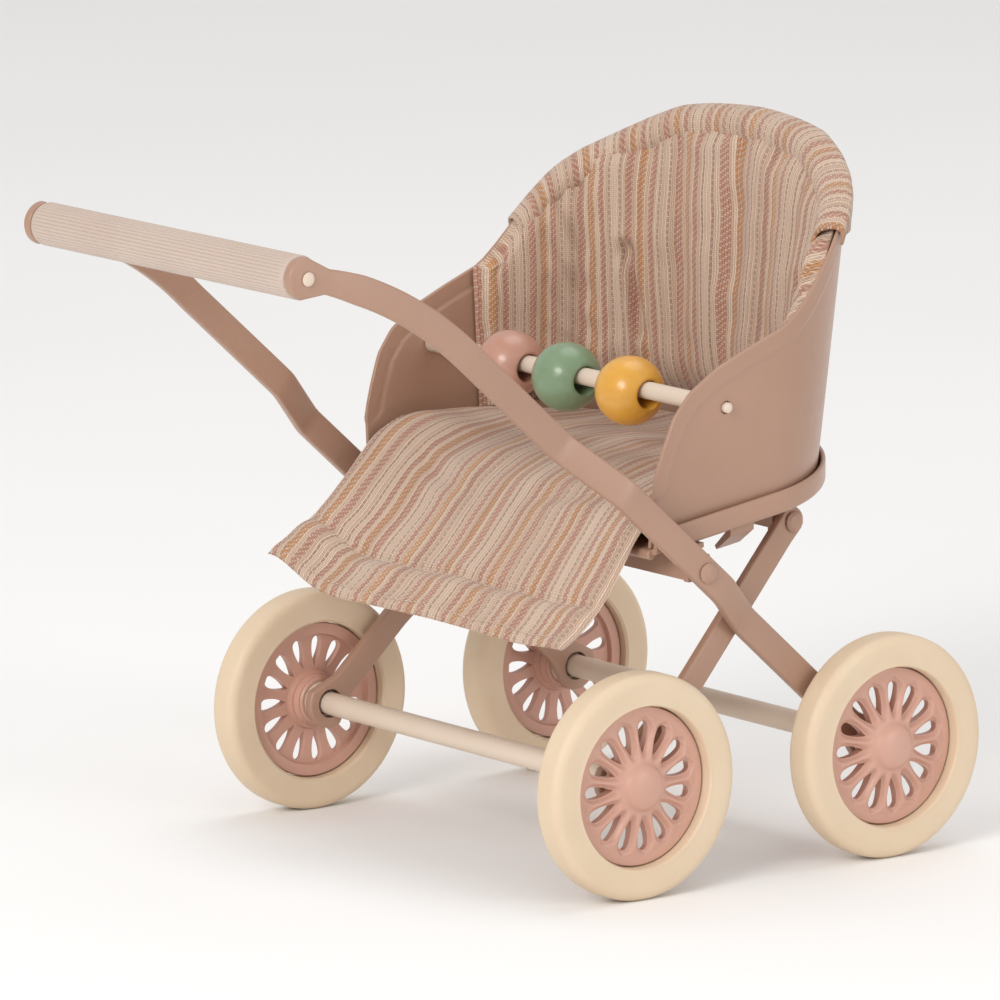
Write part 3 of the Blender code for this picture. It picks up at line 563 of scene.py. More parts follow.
def make_bead(colour):
    """A turned wooden bead: a fat barrel with rounded shoulders and a bored hole."""
    low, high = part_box(f"bead_{colour}")
    half, radius = (high.x - low.x) / 2 / MM, (high.z - low.z) / 2 / MM
    x, z = (low.x + high.x) / 2 / MM, (low.z + high.z) / 2 / MM
    bore = 2.0
    edge = math.asin((bore + 0.3) / radius)
    profile = [(radius * math.cos(a) * half / (radius * math.cos(edge)), radius * math.sin(a))
               for a in np.linspace(edge, math.pi - edge, 41)]
    profile += [(-half + 0.05, bore + 0.12), (-half + 0.2, bore), (half - 0.2, bore),
                (half - 0.05, bore + 0.12)]
    bead = turned(f"bead_{colour}", profile, (x, BEAD_Y, z), BEADS[colour], 72, 1, True)
    return settle(bead, f"{colour}_bead", f"bead_{colour}", 50)


for colour in BEADS:
    make_bead(colour)


def make_grip():
    """The push bar's sleeve: a moulded tube with fine flutes all the way round."""
    flutes, depth, radius, bore = 36, 0.14, 3.05, 1.1
    half = GRIP_HALF
    step = math.pi / flutes
    turns = np.linspace(-step, step, 9)
    crest = np.cos(turns / step * math.pi / 2) ** 0.55
    stations = [(half, 0.9), (half, 0.35), (half - 0.12, 0.12), (half - 0.35, 0.0), (half - 1.4, 0.0),
                (0, 0.0), (-half + 1.4, 0.0), (-half + 0.35, 0.0), (-half + 0.12, 0.12),
                (-half, 0.35), (-half, 0.9)]
    verts = []
    for k, (x, inset) in enumerate(stations):
        cut = depth if 4 <= k <= 6 else (0.08 if k in (3, 7) else 0.0)
        r = radius - inset - cut * (1 - crest)
        verts.append(np.stack((np.full(9, x), r * np.cos(turns), r * np.sin(turns)), -1))
    for x in (-half, half):
        verts.append(np.stack((np.full(9, x), bore * np.cos(turns), bore * np.sin(turns)), -1))
    faces = grid_faces(len(verts), 9, True)
    grip = new_object("push_grip", np.concatenate(verts), faces, GRIP)
    grip.data.transform(Matrix.Translation((0, -MID_Y * MM, 0)))
    grown(grip, RING, Count=flutes, Weld=1e-5, Finish=GRIP)
    grip.data.transform(Matrix.Translation((0, MID_Y * MM, 0)))
    outwards(grip)
    placed(grip, (0, GRIP_Y, GRIP_Z))
    return settle(grip, "carriage", "grip_sleeve", 60)


make_grip()


# ---------------------------------------------------------------- strap frame


def edge_layers(thickness, ease):
    """Insets of a strap's outline through its thickness, for softly rounded edges."""
    low = [(thickness / 2 - ease + ease * math.sin(a), ease * (1 - math.cos(a)))
           for a in np.radians((0, 22, 45, 68, 90))]
    return [(-x, inset) for x, inset in reversed(low)] + low


def strap(name, centre_at, half_at, length, offsets, thickness, side, caps, joggle_ease=1.6):
    """A flat strap along a path in the side plane, with rounded ends and smooth joggles.
    centre_at(s, aside) gives (y, z); half_at(s) the half width."""
    start_r, end_r = caps
    stations = np.linspace(0, length, int(length / 0.7))
    top = [s for s in stations if start_r * 0.98 < s < length - end_r * 0.98]
    outline = [(s, half_at(s)) for s in top]
    for a in np.radians(np.linspace(78, -78, 27)):
        outline.append((length + end_r * math.cos(a), end_r * math.sin(a)))
    for s in reversed(top):
        outline.append((s, -half_at(s)))
    for a in np.radians(np.linspace(258, 102, 27)):
        outline.append((start_r * math.cos(a), start_r * math.sin(a)))
    outline = np.array(outline)
    ahead = np.roll(outline, -1, 0) - np.roll(outline, 1, 0)
    normal = np.stack((ahead[:, 1], -ahead[:, 0]), -1)
    normal /= np.linalg.norm(normal, axis=1)[:, None]
    if np.mean(np.sum(normal * (outline - np.array((length / 2, 0))), 1)) < 0:
        normal = -normal
    smooth_s = np.linspace(-6, length + 6, 600)
    raw = np.interp(smooth_s, [o[0] for o in offsets], [o[1] for o in offsets])
    reach = max(1, int(joggle_ease / (smooth_s[1] - smooth_s[0])))
    kernel = np.hanning(2 * reach + 1)
    kernel /= kernel.sum()
    bent = np.convolve(np.pad(raw, reach, mode="edge"), kernel, "valid")
    verts, layers = [], edge_layers(thickness, 0.36)
    for x, inset in layers:
        ring = outline - normal * inset
        y, z = centre_at(ring[:, 0], ring[:, 1])
        off = np.interp(ring[:, 0], smooth_s, bent) + x
        verts.append(np.stack((side * off, y, z), -1))
    count = len(outline)
    faces = grid_faces(len(layers), count, False, True)
    n = len(top)
    cap_a = list(range(n, n + 27))
    cap_b = list(range(2 * n + 27, 2 * n + 54))
    for layer in (0, len(layers) - 1):
        base = layer * count
        for i in range(n - 1):
            faces.append((base + i, base + i + 1, base + 2 * n + 27 - 2 - i, base + 2 * n + 27 - 1 - i))
        faces.append([base + n - 1] + [base + k for k in cap_a] + [base + n + 27])
        faces.append([base + 2 * n + 26] + [base + k for k in cap_b] + [base])
    piece = new_object(name, np.concatenate(verts), faces, PAINT)
    return outwards(piece)


SLOPE = math.atan(0.885)
ALONG = np.array((math.cos(SLOPE), -math.sin(SLOPE)))
ACROSS = np.array((math.sin(SLOPE), math.cos(SLOPE)))
GRIP_AT, AXLE_AT = np.array((GRIP_Y, GRIP_Z)), np.array((AXLES["front"], WHEEL_Z))
DROP = float((AXLE_AT - GRIP_AT) @ ACROSS)
TURN = SLOPE - math.radians(10)
RADIUS = DROP / (1 - math.cos(TURN))
BEND_END = GRIP_AT + ACROSS * DROP + ALONG * RADIUS * math.sin(TURN)
BEND_CENTRE = BEND_END - ACROSS * RADIUS
ARC = RADIUS * TURN
ARM_LENGTH = ARC + float(np.linalg.norm(AXLE_AT - BEND_END))
RIVET_S = ARM_LENGTH - (AXLES["front"] + 9.5) / math.cos(SLOPE)


def arm_at(s, aside=0.0):
    """Point of the bent arm at distance s from the grip, moved aside across the strap."""
    s, aside = np.asarray(s, float), np.asarray(aside, float)
    angle = np.where(s >= ARC, SLOPE, SLOPE - (ARC - np.clip(s, 0, ARC)) / RADIUS)
    ray = np.stack((np.sin(angle), np.cos(angle)), -1)
    ahead = np.stack((np.cos(angle), -np.sin(angle)), -1)
    bend = BEND_CENTRE + ray * RADIUS + ahead * np.minimum(s, 0)[..., None]
    straight = BEND_END + ALONG * (s - ARC)[..., None]
    point = np.where((s >= ARC)[..., None], straight, bend) + ray * aside[..., None]
    return point[..., 0], point[..., 1]


def arm_half(s):
    return float(np.interp(s, (0, 3.05 * 1.25, 3.05 * 3, ARM_LENGTH - 3.6 * 1.3, ARM_LENGTH),
                           (1.75, 1.75, 2.1, 2.1, 2.1 * 1.04)))


ARM_X = ((-5, 30.35), (2.5, 30.35), (30, 32.1), (RIVET_S - 29, 32.1), (RIVET_S - 19, 36.6),
         (RIVET_S + 4.6, 36.6), (RIVET_S + 12.6, 33.4), (ARM_LENGTH + 5, 33.4))
LEG_TOP, LEG_FOOT = np.array((12.1, 48.0)), np.array((AXLES["rear"], WHEEL_Z))
LEG_LENGTH = float(np.linalg.norm(LEG_FOOT - LEG_TOP))
LEG_AHEAD = (LEG_FOOT - LEG_TOP) / LEG_LENGTH
LEG_X = ((-5, 28.7), (0, 28.7), (0.64 * LEG_LENGTH, 33.4), (LEG_LENGTH + 5, 33.4))


def leg_at(s, aside=0.0):
    s, aside = np.asarray(s, float), np.asarray(aside, float)
    across = np.array((-LEG_AHEAD[1], LEG_AHEAD[0]))
    point = LEG_TOP + LEG_AHEAD * s[..., None] + across * aside[..., None]
    return point[..., 0], point[..., 1]


for word, side in SIDES:
    arm = strap(f"arm_{word}", arm_at, arm_half, ARM_LENGTH, ARM_X, 1.5, side, (3.05, 3.6))
    cut_round(arm, AXLE_AT, 2.1)
    settle(arm, "carriage", f"arm_{word}", 42)
    leg = strap(f"leg_{word}", leg_at, lambda s: 1.95, LEG_LENGTH, LEG_X, 1.5, side, (2.1, 3.6))
    cut_round(leg, LEG_FOOT, 2.1)
    settle(leg, "carriage", f"leg_{word}", 42)


# ---------------------------------------------------------------- seat

EDGE = (
    (0.0, 57.0), (0.02, 58.9), (0.06, 61.7), (0.13, 65.8), (0.25, 69.1), (0.46, 72.1),
    (0.71, 74.4), (1.0, 76.8), (1.075, 79.6), (1.18, 84.2), (1.28, 88.4), (1.33, 90.0),
    (1.405, 91.9), (1.47, 93.2), (1.58, 95.5), (1.67, 97.4), (1.77, 99.3), (1.86, 100.1),
    (2.0, 100.8),
)
SHELL_LIFT = 0.85
SEAT_HALF, SEAT_FRONT_Y, SEAT_BEND_Y, SEAT_DEPTH = 32.9, -15.8, 5.8, 22.4


def smooth_edge():
    """The rim's height as a fair curve through its table."""
    t = np.linspace(0, 2, 801)
    raw = np.interp(t, [p[0] for p in EDGE], [p[1] for p in EDGE])
    soft = raw.copy()
    for _ in range(60):
        soft[1:-1] = (soft[:-2] + 2 * soft[1:-1] + soft[2:]) / 4
        soft[-1] = soft[-2]
    keep = eased(t, 0.02, 0.15)
    return t, raw * (1 - keep) + soft * keep


RIM_T, RIM_Z = smooth_edge()


def rim_height(t):
    return np.interp(t, RIM_T, RIM_Z)


def plan(t, z, inset=0.0):
    """A point of the seat's section at height z; t is 0 at the front of a side, 1 at the
    bend and 2 in the middle of the back, and on to 4 at the other side's front."""
    t, z = np.asarray(t, float), np.asarray(z, float)
    hand = np.where(t > 2, -1.0, 1.0)
    t = np.where(t > 2, 4 - t, t)
    rise = z - FLOOR_Z - SHELL_LIFT
    half = SEAT_HALF + 0.08 * rise - inset
    depth = SEAT_DEPTH + 0.035 * rise - inset
    a = np.clip(t - 1, 0, 1) * math.pi / 2
    power = 2 / (1.92 + 0.0098 * rise)
    x = half * np.maximum(np.cos(a), 1e-9) ** power
    y = np.where(t <= 1, SEAT_FRONT_Y + (SEAT_BEND_Y - SEAT_FRONT_Y) * t,
                 SEAT_BEND_Y + depth * np.sin(a) ** power)
    return hand * np.where(t <= 1, half, np.where(t >= 2, 0, x)), y


def foot_of(t, z=FLOOR_Z, lift=SHELL_LIFT):
    return z + lift + TILT * plan(t, FLOOR_Z)[1]


def surface_rings(stations, levels, point):
    """Points of a sheet: point(t, share) for the stations across and the levels up."""
    t, share = np.meshgrid(stations, levels, indexing="ij")
    return np.stack(point(t, share), -1)


def normals_of(grid):
    du = np.gradient(grid, axis=0)
    dv = np.gradient(grid, axis=1)
    n = np.cross(du, dv)
    return n / np.maximum(np.linalg.norm(n, axis=2), 1e-9)[..., None]


def border_of(rows, cols):
    """The border of a grid, in order, as (row, column)."""
    return ([(0, j) for j in range(cols)] + [(i, cols - 1) for i in range(1, rows)]
            + [(rows - 1, j) for j in range(cols - 2, -1, -1)]
            + [(i, 0) for i in range(rows - 2, 0, -1)])


def band(first, second):
    """Faces between two rings of points of the same count."""
    count = len(first)
    return [(first[i], first[(i + 1) % count], second[(i + 1) % count], second[i])
            for i in range(count)]


def wrapped(outer, inner, rounds=4):
    """Two sheets of the same grid joined by a rounded edge all the way round."""
    rows, cols = outer.shape[:2]
    edge = border_of(rows, cols)
    verts = [outer.reshape(-1, 3), inner.reshape(-1, 3)]
    under = rows * cols
    faces = grid_faces(rows, cols) + grid_faces(rows, cols, start=under)
    previous = [i * cols + j for i, j in edge]
    start = 2 * under
    a = np.array([outer[i, j] for i, j in edge])
    b = np.array([inner[i, j] for i, j in edge])
    step_in = np.array([outer[min(max(i, 1), rows - 2), min(max(j, 1), cols - 2)] for i, j in edge])
    away = a - step_in
    away -= ((away * (b - a)).sum(1) / np.maximum(((b - a) ** 2).sum(1), 1e-9))[:, None] * (b - a)
    size = np.linalg.norm(away, axis=1)[:, None]
    away = away / np.maximum(size, 1e-9) * np.linalg.norm(b - a, axis=1)[:, None] * 0.42
    count = len(edge)
    for k in range(1, rounds + 1):
        turn = math.pi * k / (rounds + 1)
        ring = (a + b) / 2 + (a - b) / 2 * math.cos(turn) + away * math.sin(turn)
        verts.append(ring)
        now = [start + i for i in range(count)]
        faces += band(previous, now)
        previous = now
        start += count
    last = [under + i * cols + j for i, j in edge]
    faces += band(previous, last)
    return np.concatenate(verts), faces


def make_shell():
    """The bucket: a thin pressed wall with a line pressed in just inside its rim."""
    stations = np.concatenate((np.linspace(0, 0.13, 14), np.linspace(0.14, 1, 50),
                               np.linspace(1.01, 2, 90)))
    stations = np.concatenate((stations, 4 - stations[-2::-1]))
    levels = np.concatenate((np.linspace(0, 0.75, 42), np.linspace(0.76, 1, 52)))

    def point(t, share):
        near = np.minimum(t, 4 - t)
        foot, top = foot_of(t), rim_height(near)
        z = foot + (top - foot) * share
        x, y = plan(t, z)
        return x, y, z

    outer = surface_rings(stations, levels, point)
    normal = normals_of(outer)
    rim = outer[:, -1]
    distance = np.full(outer.shape[:2], 99.0)
    for i in range(0, len(rim) - 1, 2):
        apart = np.linalg.norm(outer - rim[i], axis=2)
        distance = np.minimum(distance, apart)
    press = 0.16 * (1 - eased(distance, 2.2, 2.9)) + 0.05 * np.exp(-((distance - 2.1) / 0.35) ** 2)
    thick = 0.62
    flip = np.sign(np.mean(np.sum(normal * (outer - np.array((0, 0, 75.0))) * np.array((1, 1, 0)), 2)))
    out = normal * flip
    dome = press[..., None] * 0.8
    a = outer - out * 0.02 - out * (0.13 - dome)
    b = outer - out * (0.02 + thick) - out * (0.10 - dome)
    verts, faces = wrapped(a, b)
    shell = new_object("bucket_shell", verts, faces, SEAT_PAINT)
    outwards(shell)
    cut_round(shell, (BEAD_Y, BEAD_Z), 0.95)
    outwards(shell)
    return settle(shell, "carriage", "seat_shell", 45)


def tray_ring(inset, rise, front_y):
    t = np.concatenate((np.linspace(1, 2, 50), 4 - np.linspace(1, 2, 50)[-2::-1]))
    x, y = plan(t, FLOOR_Z + 3.3 + TILT * plan(t, FLOOR_Z)[1], inset)
    side = np.linspace(front_y, SEAT_BEND_Y - 0.6, 16)
    x = np.concatenate((np.full(16, x[0]), x, np.full(16, x[-1])))
    y = np.concatenate((side, y, side[::-1]))
    return np.stack((x, y, FLOOR_Z + rise + TILT * y), -1)


def make_tray():
    """A shallow pan: a lip that laps up round the bucket, and a floor with a rolled front."""
    front = SEAT_FRONT_Y - 0.2
    shape = [(0.62 * (1 - math.sin(a)), 0.62 * (1 - math.cos(a)))
             for a in np.radians(np.linspace(0, 90, 6))]
    shape += [(0.0, 1.5), (0.0, 2.3)]
    shape += [(0.35 - 0.35 * math.cos(a), 2.95 + 0.35 * math.sin(a))
              for a in np.radians(np.linspace(0, 180, 9))]
    shape += [(0.7, 2.3), (0.7, 1.3), (0.76, 0.95), (1.0, SHEET_T)]
    rings = [tray_ring(-0.9 + inset, rise, front) for inset, rise in shape]
    count = len(rings[0])
    faces = grid_faces(len(rings), count)
    faces += [tuple(range(count)), tuple((len(rings) - 1) * count + k for k in range(count))]
    ends = [k * count for k in range(len(rings))]
    other = [k * count + count - 1 for k in range(len(rings))]
    faces += [tuple(ends), tuple(other)]
    faces += [(0, (len(rings) - 1) * count, (len(rings) - 1) * count + count - 1, count - 1)]
    pan = outwards(new_object("seat_pan", np.concatenate(rings), faces, SEAT_PAINT))
    roll = turned("front_roll", [(SEAT_HALF, 0), (SEAT_HALF, 0.55), (SEAT_HALF - 0.2, 0.75),
                                 (0.2 - SEAT_HALF, 0.75), (-SEAT_HALF, 0.55), (-SEAT_HALF, 0)],
                  (0, SEAT_FRONT_Y - 0.1, FLOOR_Z + TILT * (SEAT_FRONT_Y - 0.1) + SHEET_T - 0.75),
                  SEAT_PAINT, 32)
    step = pan.modifiers.new("Roll", "BOOLEAN")
    step.operation, step.object, step.solver = "UNION", roll, "EXACT"
    baked(pan)
    bpy.data.objects.remove(roll, do_unlink=True)
    return settle(pan, "carriage", "seat_tray", 38)


make_shell()
make_tray()


# ---------------------------------------------------------------- cushions

PAD_INSET = SHEET_T + 0.3
PAD_T = 3.4
SCALE = 10.0


def lumps(u, v, seed, sizes=(9.0, 16.0), strength=(0.5, 0.5)):
    """Gentle wandering waves, for cloth that has been handled."""
    wave = np.random.default_rng(seed)
    total = np.zeros_like(u)
    for size, high in zip(sizes, strength):
        for _ in range(6):
            turn, phase = wave.uniform(0, math.tau, 2)
            length = size * wave.uniform(0.7, 1.4)
            along = u * math.cos(turn) + v * math.sin(turn)
            total += high / 6 * np.sin(along * math.tau / length + phase)
    return total


def crease(u, v, start, end, width, deep, lift=0.4):
    """A soft groove between two points with a swell on each side."""
    a, b = np.array(start, float), np.array(end, float)
    run = b - a
    share = np.clip(((u - a[0]) * run[0] + (v - a[1]) * run[1]) / (run @ run), 0, 1)
    away = np.hypot(u - a[0] - share * run[0], v - a[1] - share * run[1])
    fade = np.sin(np.clip(share, 0.08, 0.92) * math.pi) ** 0.5
    groove = np.exp(-(away / width) ** 2)
    swell = np.exp(-((away - width * 2) / width) ** 2)
    return fade * deep * (-groove + lift * swell)


def padded_piece(name, outer, inner, uv):
    """A stuffed panel: two faces joined by a seam, with its cloth map."""
    verts, faces = wrapped(outer, inner, 5)
    rim = len(verts) - 2 * uv.shape[0] * uv.shape[1]
    rows, cols = uv.shape[:2]
    edge = border_of(rows, cols)
    around = np.array([uv[i, j] for i, j in edge])
    ring = np.tile(around, (rim // len(edge), 1))
    flat = uv.reshape(-1, 2)
    piece = new_object(name, verts, faces, COTTON, np.concatenate((flat, flat, ring)))
    return outwards(piece, weld=0)


def simulated(piece, pin, reach, shrink=-0.03, pressure=4.0, frames=20, stiff=12.0):
    """Lets the panel puff and wrinkle as stuffed cloth, then smooths and keeps it near its
    drawn shape. It is done ten times as large, where cloth behaves better."""
    mesh = piece.data
    count = len(mesh.vertices)
    before = np.empty(count * 3)
    mesh.vertices.foreach_get("co", before)
    before = before.reshape(-1, 3)
    mesh.vertices.foreach_set("co", (before * SCALE).ravel())
    mesh.update()
    group = piece.vertex_groups.new(name="pin")
    for index, weight in enumerate(pin):
        if weight > 0.01:
            group.add([index], float(weight), "REPLACE")
    step = piece.modifiers.new("Cloth", "CLOTH")
    cloth = step.settings
    cloth.quality = 6
    cloth.mass = 0.15
    cloth.tension_stiffness = cloth.compression_stiffness = stiff
    cloth.shear_stiffness = 4.0
    cloth.bending_stiffness = 0.35
    cloth.shrink_min = shrink
    cloth.use_pressure = True
    cloth.uniform_pressure_force = pressure
    cloth.vertex_group_mass = "pin"
    cloth.pin_stiffness = 1.0
    cloth.effector_weights.gravity = 0.0
    step.collision_settings.use_collision = False
    step.point_cache.frame_start, step.point_cache.frame_end = 1, frames
    scene = bpy.context.scene
    for f in range(1, frames + 1):
        scene.frame_set(f)
    baked(piece)
    scene.frame_set(1)
    piece.vertex_groups.clear()
    after = np.empty(count * 3)
    piece.data.vertices.foreach_get("co", after)
    move = after.reshape(-1, 3) / SCALE - before
    size = np.linalg.norm(move, axis=1)[:, None]
    cap = reach * MM
    move = move / np.maximum(size, 1e-12) * cap * np.tanh(size / cap)
    piece.data.vertices.foreach_set("co", (before + move).ravel())
    piece.data.update()
    return piece


def pinned(rows, cols, total, edge_rows=1):
    """Full hold on the hidden face and the rim, none on the face that is seen."""
    weight = np.ones(total)
    front = np.zeros((rows, cols))
    front[:edge_rows] = front[-edge_rows:] = 1
    front[:, :edge_rows] = front[:, -edge_rows:] = 1
    weight[rows * cols:2 * rows * cols] = front.ravel()
    return weight


def arc_lengths(points):
    return np.concatenate(((0,), np.cumsum(np.linalg.norm(np.diff(points, axis=0), axis=1))))


def make_back():
    """The back pad: it lies round the inside of the bucket, tufted once, with a soft
    valley each side of the middle and wrinkles where it turns the corner."""
    stations = np.linspace(0.93, 3.07, 150)
    levels = np.linspace(0, 1, 84)

    def point(t, share):
        near = np.minimum(t, 4 - t)
        foot = 55.4 + TILT * plan(t, FLOOR_Z, PAD_INSET)[1]
        far = eased(t, 2, 2.6)
        top = rim_height(near) - (0.35 + 2.0 * (1 - eased(near, 1.15, 1.36))) * (1 - far) + 0.35 * far
        z = foot + (top - foot) * share
        x, y = plan(t, z, PAD_INSET + 0.05)
        return x, y, z

    outer = surface_rings(stations, levels, point)
    middle_row = outer[:, 20]
    run = arc_lengths(middle_row)
    u = np.repeat((run - run[len(run) // 2])[:, None], len(levels), 1)
    v = outer[..., 2] - 55.0
    normal = normals_of(outer)
    into = np.sign(np.mean(np.sum(normal * (np.array((0, 0, 75.0)) - outer) * np.array((1, 1, 0)), 2)))
    inside = normal * into
    rows, cols = u.shape
    i, j = np.meshgrid(np.arange(rows), np.arange(cols), indexing="ij")
    border = np.minimum(np.minimum(i, rows - 1 - i) * (run[1] - run[0]),
                        np.minimum(j, cols - 1 - j) * 0.5)
    puff = 1 - np.exp(-border / 1.1)
    soft = lumps(u, v, 3, (14.0, 22.0, 7.0), (0.5, 0.6, 0.22))
    shape = soft
    for valley, deep, width in ((0.2, 1.35, 2.1), (10.5, 0.7, 1.6), (-15.0, 0.8, 1.8), (29.0, 0.6, 1.6)):
        shape = shape + crease(u, v, (valley, 6), (valley - 1.0, 41), width, deep)
    shape = shape + crease(u, v, (18.0, 12.5), (20.0, 24.5), 0.9, 1.5, 0.4)
    shape = shape - 1.3 * np.exp(-(((u - 20) / 1.6) ** 2 + ((v - 24) / 1.6) ** 2))
    for low, high in ((10, 19), (15, 26), (21, 34), (6, 12)):
        shape = shape + crease(u, v, (-21, low + 3), (-35, high + 2), 1.0, 0.85)
        shape = shape + crease(u, v, (26, low + 1), (34, high), 1.0, 0.5)
    depth = 0.45 + (2.45 + shape) * puff
    depth = np.clip(depth, 0.35, 3.55)
    inner = outer + inside * depth[..., None]
    piece = padded_piece("back_pad", outer, inner, np.stack((u, v), -1))
    total = len(piece.data.vertices)
    simulated(piece, pinned(rows, cols, total), reach=0.7)
    settle(piece, "carriage", "back_cushion", 0)


def make_pocket():
    """The pocket sewn to the pad's top: it goes over the rim and down the outside."""
    stations = np.linspace(1.29, 2.86, 140)
    section = [(0.35, 0.0, 0.0), (0.35, 0.25, 0.0), (0.38, 0.5, 0.0), (0.4, 0.75, 0.0),
               (0.38, 0.93, 0.05),
               (0.26, 1.0, 0.32), (0.0, 1.0, 0.56), (-0.4, 1.0, 0.72), (-1.0, 1.0, 0.74),
               (-1.8, 1.0, 0.62), (-2.6, 1.0, 0.3), (-3.2, 1.0, -0.4),
               (-3.45, 1.0, -1.3), (-3.35, 1.0, -2.3), (-2.8, 1.0, -3.2)]
    share = np.linspace(0, len(section) - 1, 46)
    table = np.array(section)
    cols = [np.interp(share, np.arange(len(section)), table[:, k]) for k in range(3)]
    t = np.repeat(stations[:, None], len(share), 1)
    near = np.minimum(t, 4 - t)
    top = rim_height(near)
    hem = np.minimum(88.6, top - 1.3)
    z = hem + (top - hem) * cols[1] + cols[2] * 1.0
    wrinkle = 0.09 * lumps(t * 30, z, 11, (3.5, 6.0), (0.6, 0.8))
    x, y = plan(t, z, -(cols[0] + wrinkle))
    grid = np.stack((x, y, z + 0.06 * lumps(t * 30, z * 0, 5, (2.6, 4.4), (0.6, 0.6))), -1)
    run = arc_lengths(grid[:, 20])
    u = np.repeat((run - run[len(run) // 2])[:, None], len(share), 1)
    v = grid[..., 2] * 0 + arc_lengths(grid[65])
    normal = normals_of(grid)
    from_middle = (grid[:, :20] - np.array((0, 0, 75.0))) * np.array((1, 1, 0))
    out = np.sign(np.mean(np.sum(normal[:, :20] * from_middle, 2)))
    outer = grid + normal * out * 0.45
    piece = padded_piece("pad_pocket", outer, grid, np.stack((u, v), -1))
    settle(piece, "carriage", "cushion_pocket", 0)


def make_seat_pad():
    """The seat pad and its long loose flap, which hangs over the front and curls up."""
    path = np.array(((23.4, 55.4 + 0.15 * 12), (10, 56.6), (3.8, 57.4), (0, 57.1), (-5, 56.2),
                     (-9.5, 55.0),
                     (-13, 53.8), (-16, 51.8), (-18.4, 49.2), (-21.5, 45.6),
                     (-26.0, 41.4), (-30.5, 38.4), (-34.6, 36.2)))
    under = np.array(((23.4, 54.3), (10, 52.9), (3.8, 51.7), (0, 51.2), (-5, 50.6), (-9.5, 49.9),
                      (-13, 49.4), (-15.9, 48.9), (-17.6, 47.1), (-20.2, 43.6),
                      (-24.6, 39.4), (-29.2, 36.6), (-33.4, 34.4)))
    count = 120

    def fair(points):
        along = arc_lengths(points)
        even = np.linspace(0, along[-1], count)
        line = np.stack([np.interp(even, along, points[:, k]) for k in (0, 1)], -1)
        for _ in range(26):
            line[1:-1] = (line[:-2] + 2 * line[1:-1] + line[2:]) / 4
        return line

    upper, lower = fair(path), fair(under)
    across = np.linspace(-1, 1, 96)
    y_lead = upper[:, 0]
    half = np.full(count, 31.4)
    inset = SHEET_T + 0.3 + PAD_T + 0.9
    for k in range(count):
        if y_lead[k] > SEAT_BEND_Y - 2.5:
            level = plan(np.linspace(1, 2, 200), 55.0, inset)
            reach = np.interp(y_lead[k], level[1], level[0])
            ease = eased(y_lead[k], SEAT_BEND_Y - 2.5, SEAT_BEND_Y + 3)
            half[k] = 31.0 * (1 - ease) + min(31.0, reach) * ease
    half[0] = max(half[0], 3.0)
    x = across[None, :] * half[:, None]
    run = arc_lengths(upper)
    v = np.repeat(run[:, None], len(across), 1)
    edge_x = (half[:, None] - np.abs(x))
    edge_v = np.minimum(v, run[-1] - v)
    puff = 1 - np.exp(-np.minimum(edge_x, edge_v) / 1.0)
    y_top = np.repeat(upper[:, :1], len(across), 1)
    z_top = np.repeat(upper[:, 1:], len(across), 1)
    y_low = np.repeat(lower[:, :1], len(across), 1)
    z_low = np.repeat(lower[:, 1:], len(across), 1)
    hang = eased(-y_top, 15.0, 34.0)
    sway = hang * (1.2 * np.cos(x / 31 * math.pi * 0.5) * -1 + 0.7 * np.sin(x / 31 * 2.2 + 0.4) + 0.5)
    near_wall = eased(-y_top, -6, 16)
    side_lift = (near_wall * (4.2 * eased(-x, 15, 31) ** 1.4 + 0.8 * eased(x, 20, 31))
                 - 0.8 * hang * eased(x, 0, 31))
    folds = 0.7 * lumps(x, v, 21, (9.0, 15.0, 24.0), (0.6, 0.7, 0.7))
    roll = 0.95 * np.exp(-((run[-1] - 5.8 - v) / 1.5) ** 2) * hang
    seam = -1.4 * np.exp(-((run[-1] - 9.0 - v) / 0.8) ** 2) * hang
    folds = folds + crease(x, v, (-22, run[-1] - 26), (-6, run[-1] - 22), 1.3, 0.55)
    folds = folds + crease(x, v, (4, run[-1] - 24), (22, run[-1] - 27), 1.3, 0.5)
    centre_z, centre_y = (z_top + z_low) / 2, (y_top + y_low) / 2
    gap_y, gap_z = (y_top - y_low) / 2, (z_top - z_low) / 2
    up_y = centre_y + gap_y * puff + 0 * x
    up_z = centre_z + gap_z * puff + (folds + roll + seam) * puff * 0.75 + side_lift - 0.35 * sway
    low_y = centre_y - gap_y * puff * 0.96
    low_z = centre_z - gap_z * puff * 0.96 + side_lift - 0.35 * sway
    drawn_back = hang * (3.8 * eased(x, -31, 31) - 0.6) + sway * 0.25
    up_y = up_y + drawn_back
    low_y = low_y + drawn_back
    upper_grid = np.stack((x, up_y, up_z), -1)
    lower_grid = np.stack((x, low_y, low_z), -1)
    weave = np.stack((x, v), -1)
    piece = padded_piece("seat_pad", lower_grid, upper_grid, weave)
    rows, cols = x.shape
    total = len(piece.data.vertices)
    simulated(piece, pinned(rows, cols, total), reach=0.6)
    settle(piece, "carriage", "seat_cushion", 0)
    return upper_grid, v


make_back()
make_pocket()
SEAT_FACE, SEAT_V = make_seat_pad()


def stitched(name, line, pitch=0.9, length=0.62, thick=0.22):
    """A run of sewing thread along points in millimetres."""
    made = new_object(name, line, [], STITCH)
    made.data.clear_geometry()
    points = np.asarray(line, float) * MM + np.array((0, MID_Y * MM, 0))
    made.data.from_pydata(points.tolist(), [(i, i + 1) for i in range(len(points) - 1)], [])
    grown(made, STITCHES, Pitch=pitch * MM, Length=length * MM, Thickness=thick * MM, Finish=STITCH)
    return settle(made, "carriage", (), 0)


